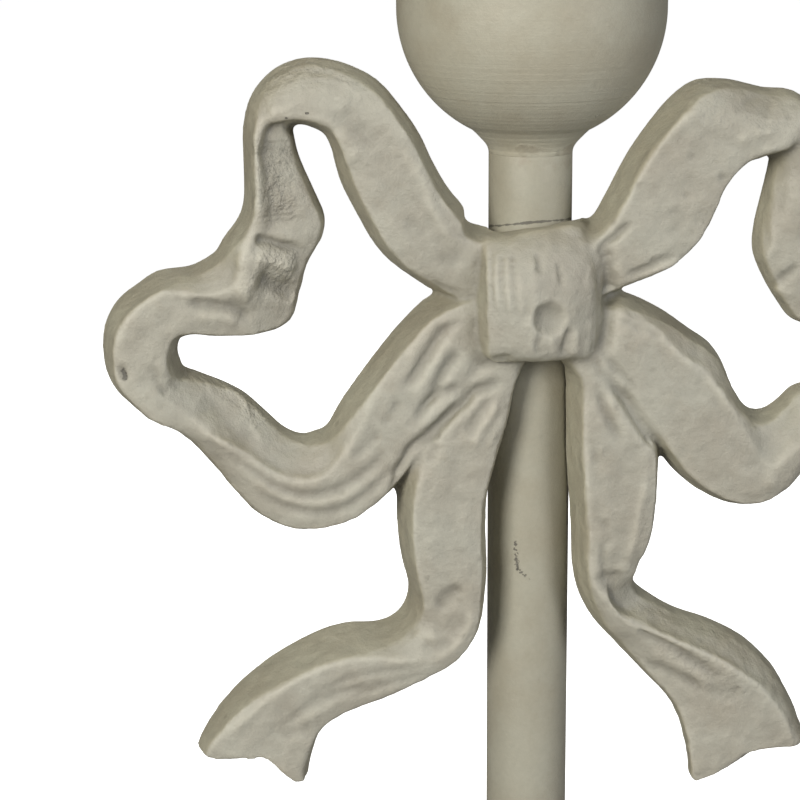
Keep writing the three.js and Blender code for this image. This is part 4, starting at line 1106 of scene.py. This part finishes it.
# the lengths of the turned pieces are in mm
cupValues = {"radius": 22.3, "neckFillet": 4.0, "neckLand": 0.02, "wall": 2.3, "straight": 12.0, "floor": 7.0,
             "hole": 3.3, "rimRounding": 0.6, "edge": 0.04}


def makeCup():
    v = cupValues
    top, tube, hole, radius = turnedValues["tubeTop"], turnedValues["tubeRadius"], v["hole"], v["radius"]
    filletR = tube + v["neckFillet"]
    drop = math.sqrt((radius + v["neckFillet"]) ** 2 - filletR ** 2)
    ball = top + v["neckLand"] + drop
    turn = math.degrees(math.atan2(drop, filletR))
    rim = ball + v["straight"]
    inner = radius - v["wall"]
    depth = min(ball - top - v["floor"], inner - 0.5)
    floorTurn = math.degrees(math.asin(depth / inner))
    soft = v["rimRounding"]
    outline = [(hole, top), (tube, top)]
    neck = [(0, 0), (0.05, 1.5), (1.3, 2.2), (2.6, 3.75)]
    outline += bezier([(tube + out, top + up) for out, up in neck], 9)[1:-1]
    outline += arcPoints(radius, 0, ball, -turn, 0, 40)[1:] + [(radius, ball + v["straight"] / 2)]
    outline += arcPoints(soft, radius - soft, rim - soft, 0, 90, 5)
    outline += arcPoints(soft, inner + soft, rim - soft, 90, 180, 5)
    outline += arcPoints(inner, 0, ball, 0, -floorTurn, 24)
    outline += [(hole, ball - depth), (hole, top)]
    cup = spinOutline("turnedCup", outline)
    roundEdges(cup, v["edge"])
    finishPiece(cup, cupPaint, "stand", "paint", "candle_cup")
    return rim, inner


nozzleValues = {"candle": 11.25, "wall": 1.6, "floor": 2.0, "depth": 25.0, "proud": 11.0, "pan": 30.0,
                "thickness": 2.0, "lip": 2.5, "spigot": 4.0, "spigotWall": 2.0, "gap": 0.3, "edge": 0.25}


def makeNozzle(rim, inner):
    v = nozzleValues
    candle, pan, axis = v["candle"], v["pan"], turnedValues["axis"]
    outer = candle + v["wall"]
    top = rim + v["thickness"] + v["proud"]
    seat = top - v["depth"]
    spigot = inner - v["gap"]
    spigotInside, spigotEnd = spigot - v["spigotWall"], rim - v["spigot"]
    edge, floor = rim + v["lip"] + v["thickness"], rim + v["thickness"]
    outline = [(axis, seat - v["floor"]), (outer, seat - v["floor"]), (outer, rim)]
    outline += [(spigotInside, rim), (spigotInside, spigotEnd), (spigot, spigotEnd), (spigot, rim)]
    # the pan from below over its lip to its floor, and then the socket, each as distances from a level
    panSkin = [(-3, rim, 0), (-1.6, rim, 0.5), (-0.5, rim, 1.4), (0, rim, v["lip"]),
               (0, edge, -0.6), (-0.2, edge, -0.15), (-0.6, edge, 0), (-1, edge, -0.15), (-1.3, edge, -0.6),
               (-2, floor, 1.2), (-3, floor, 0.4), (-4.2, floor, 0)]
    outline += [(pan + out, level + up) for out, level, up in panSkin]
    socket = [(2, floor, 0), (0.9, floor, 0.3), (0.3, floor, 0.9), (0, floor, 2),
              (0, top, -2.6), (0.3, top, -2.1), (0.85, top, -1.6), (1, top, -0.95), (0.8, top, -0.35), (0.3, top, 0)]
    outline += [(outer + out, level + up) for out, level, up in socket]
    outline += [(candle + 0.35, top), (candle, top - 0.35), (candle, seat), (axis, seat)]
    nozzle = spinOutline("turnedNozzle", outline)
    pick(nozzle)
    bpy.ops.object.mode_set(mode="EDIT")
    cleanMesh(3e-6)
    roundEdges(nozzle, v["edge"])
    finishPiece(nozzle, turnedPaint, "nozzle", "paint", "candle_nozzle")


stemValues = {"levels": 40, "drillRadius": 2.3, "drillLevel": 267.5, "edge": 0.04}


def makeStem():
    v, bore = stemValues, turnedValues["bore"]
    bottom, top = turnedValues["tubeBottom"], turnedValues["tubeTop"]
    wall = [(turnedValues["tubeRadius"], z) for z in np.linspace(bottom, top, v["levels"])]
    stem = spinOutline("stemTube", [(bore, bottom)] + wall + [(bore, top), (bore, bottom)])
    deselect()
    bpy.ops.mesh.primitive_cylinder_add(vertices=48, radius=v["drillRadius"] * mm, depth=0.04,
                                        location=(0, 0, v["drillLevel"] * mm), rotation=(math.pi / 2, 0, 0))
    cutAway(stem, "crossDrill", bpy.context.object)
    roundEdges(stem, v["edge"])
    finishPiece(stem, stemPaint, "stand", "paint", "stem_tube")


collarValues = {"inner": 7.3, "outer": 10.7, "height": 8.0, "steps": 96, "edge": 0.15}


def makeCollar():
    inner, outer, height, steps, edge = collarValues.values()
    bottom = turnedValues["tubeBottom"]
    top, middle = bottom + height, bottom + height / 2
    outline = [(inner, bottom), (outer - 0.2, bottom), (outer, bottom + 0.4), (outer - 0.1, bottom + 0.9)]
    outline += arcPoints(height / 2 - 1, outer - 1.2, middle, -65, 65, 14)
    outline += [(outer - 0.9, top - 0.9), (outer - 1, top - 0.3), (outer - 1.3, top)]
    outline += [(inner + 0.2, top), (inner, top - 0.2), (inner, bottom)]
    collar = spinOutline("baseCollar", outline, steps)
    roundEdges(collar, edge)
    finishPiece(collar, turnedPaint, "stand", "paint", "base_collar")


footValues = {"radius": 64.98, "bottom": 2.0, "height": 32.0, "rimHeight": 4.0, "rimWidth": 13.0, "wall": 4.5,
              "boss": 12.5, "bossFloor": 10.0, "recess": 15.0, "hole": 3.3, "washer": 9.0, "edge": 0.3}


def makeFoot():
    v = footValues
    radius, bottom, boss, hole, recess = v["radius"], v["bottom"], v["boss"], v["hole"], v["recess"]
    top, rimTop, rimInside = bottom + v["height"], bottom + v["rimHeight"], radius - v["rimWidth"]
    sweepFoot, sweepBottom = radius - v["rimWidth"] * 0.85, rimTop + 3.5
    ceiling = top - v["bossFloor"]
    outline = [(hole, top), (hole, ceiling), (v["washer"], ceiling)]
    outline += bezier([(recess, sweepBottom + 2.5), ((recess + radius - v["rimWidth"]) / 2, sweepBottom),
                       (rimInside, sweepBottom - v["wall"])], 10)
    outline += [(rimInside, bottom), (radius - 0.5, bottom), (radius - 0.12, bottom + 0.3), (radius, bottom + 0.8),
                (radius, rimTop - 1.6)]
    outline += arcPoints(1.4, radius - 1.4, rimTop - 1.4, 5, 88, 5)
    outline += [(radius - 6, rimTop + 0.45), (sweepFoot + 2.4, rimTop + 0.7), (sweepFoot + 1, rimTop + 1.4),
                (sweepFoot + 0.3, rimTop + 2.4)]
    outline += bezier([(sweepFoot, sweepBottom), ((sweepFoot + boss) * 0.42, sweepBottom + 4), (boss + 4, top - 14),
                       (boss, top - 1.8)], 30)
    outline += [(boss - 0.2, top - 0.9), (boss - 0.7, top - 0.25), (boss - 1.5, top), (hole, top)]
    foot = spinOutline("bellFoot", outline)
    roundEdges(foot, v["edge"])
    finishPiece(foot, footPaint, "stand", "paint", "base_foot")


padValues = {"count": 4, "circle": 58.5, "radius": 6.0, "thickness": 2.0, "edge": 0.45}


def makePads():
    v = padValues
    for i in range(v["count"]):
        turn = (i + 0.5) * math.tau / v["count"]
        place = (v["circle"] * mm * math.cos(turn), v["circle"] * mm * math.sin(turn), v["thickness"] * mm / 2)
        deselect()
        bpy.ops.mesh.primitive_cylinder_add(vertices=56, radius=v["radius"] * mm, depth=v["thickness"] * mm,
                                            location=place)
        pad = bpy.context.object
        pad.name = "feltPad%d" % (i + 1)
        bpy.ops.object.transform_apply(location=True, rotation=False, scale=False)
        roundEdges(pad, v["edge"], 3)
        finishPiece(pad, feltFinish, "stand", "felt", "foot_pad_%d" % (i + 1))


screwValues = {"head": 4.0, "headHeight": 2.6, "headSide": 0.9, "shank": 2.0, "length": 22.6, "slotWidth": 1.1,
               "slotDepth": 1.3, "slotTurn": 0.6, "seat": 9.3, "level": 267.5, "steps": 64, "edge": 0.1}


def makeBowScrew():
    v = screwValues
    head, side, shank, end, axis = v["head"], v["headSide"], v["shank"], -v["length"], turnedValues["axis"]
    outline = [(axis, end), (shank - 0.4, end), (shank, end + 0.4), (shank, 0)]
    outline += [(head - 0.15, 0), (head, 0.15), (head, side)]
    outline += [(head * math.cos(a) ** 0.7, side + (v["headHeight"] - side) * math.sin(a))
                for a in np.radians(np.linspace(8, 89.9, 12))]
    screw = spinOutline("bowScrew", outline + [(axis, v["headHeight"])], v["steps"])
    deselect()
    bpy.ops.mesh.primitive_cube_add(size=1, location=(0, 0, v["headHeight"] * mm))
    slot = bpy.context.object
    slot.scale = (0.02, v["slotWidth"] * mm, 2 * v["slotDepth"] * mm)
    slot.rotation_euler = (0, 0, v["slotTurn"])
    cutAway(screw, "slot", slot)
    roundEdges(screw, v["edge"])
    screw.rotation_euler = (-math.pi / 2, 0, 0)
    screw.location = (0, v["seat"] * mm, v["level"] * mm)
    bpy.ops.object.transform_apply(location=True, rotation=True, scale=False)
    finishPiece(screw, steelFinish, "stand", "steel", "bow_screw")


makeNozzle(*makeCup())
makeStem()
makeCollar()
makeFoot()
makePads()
makeBowScrew()
print("turned pieces are done")
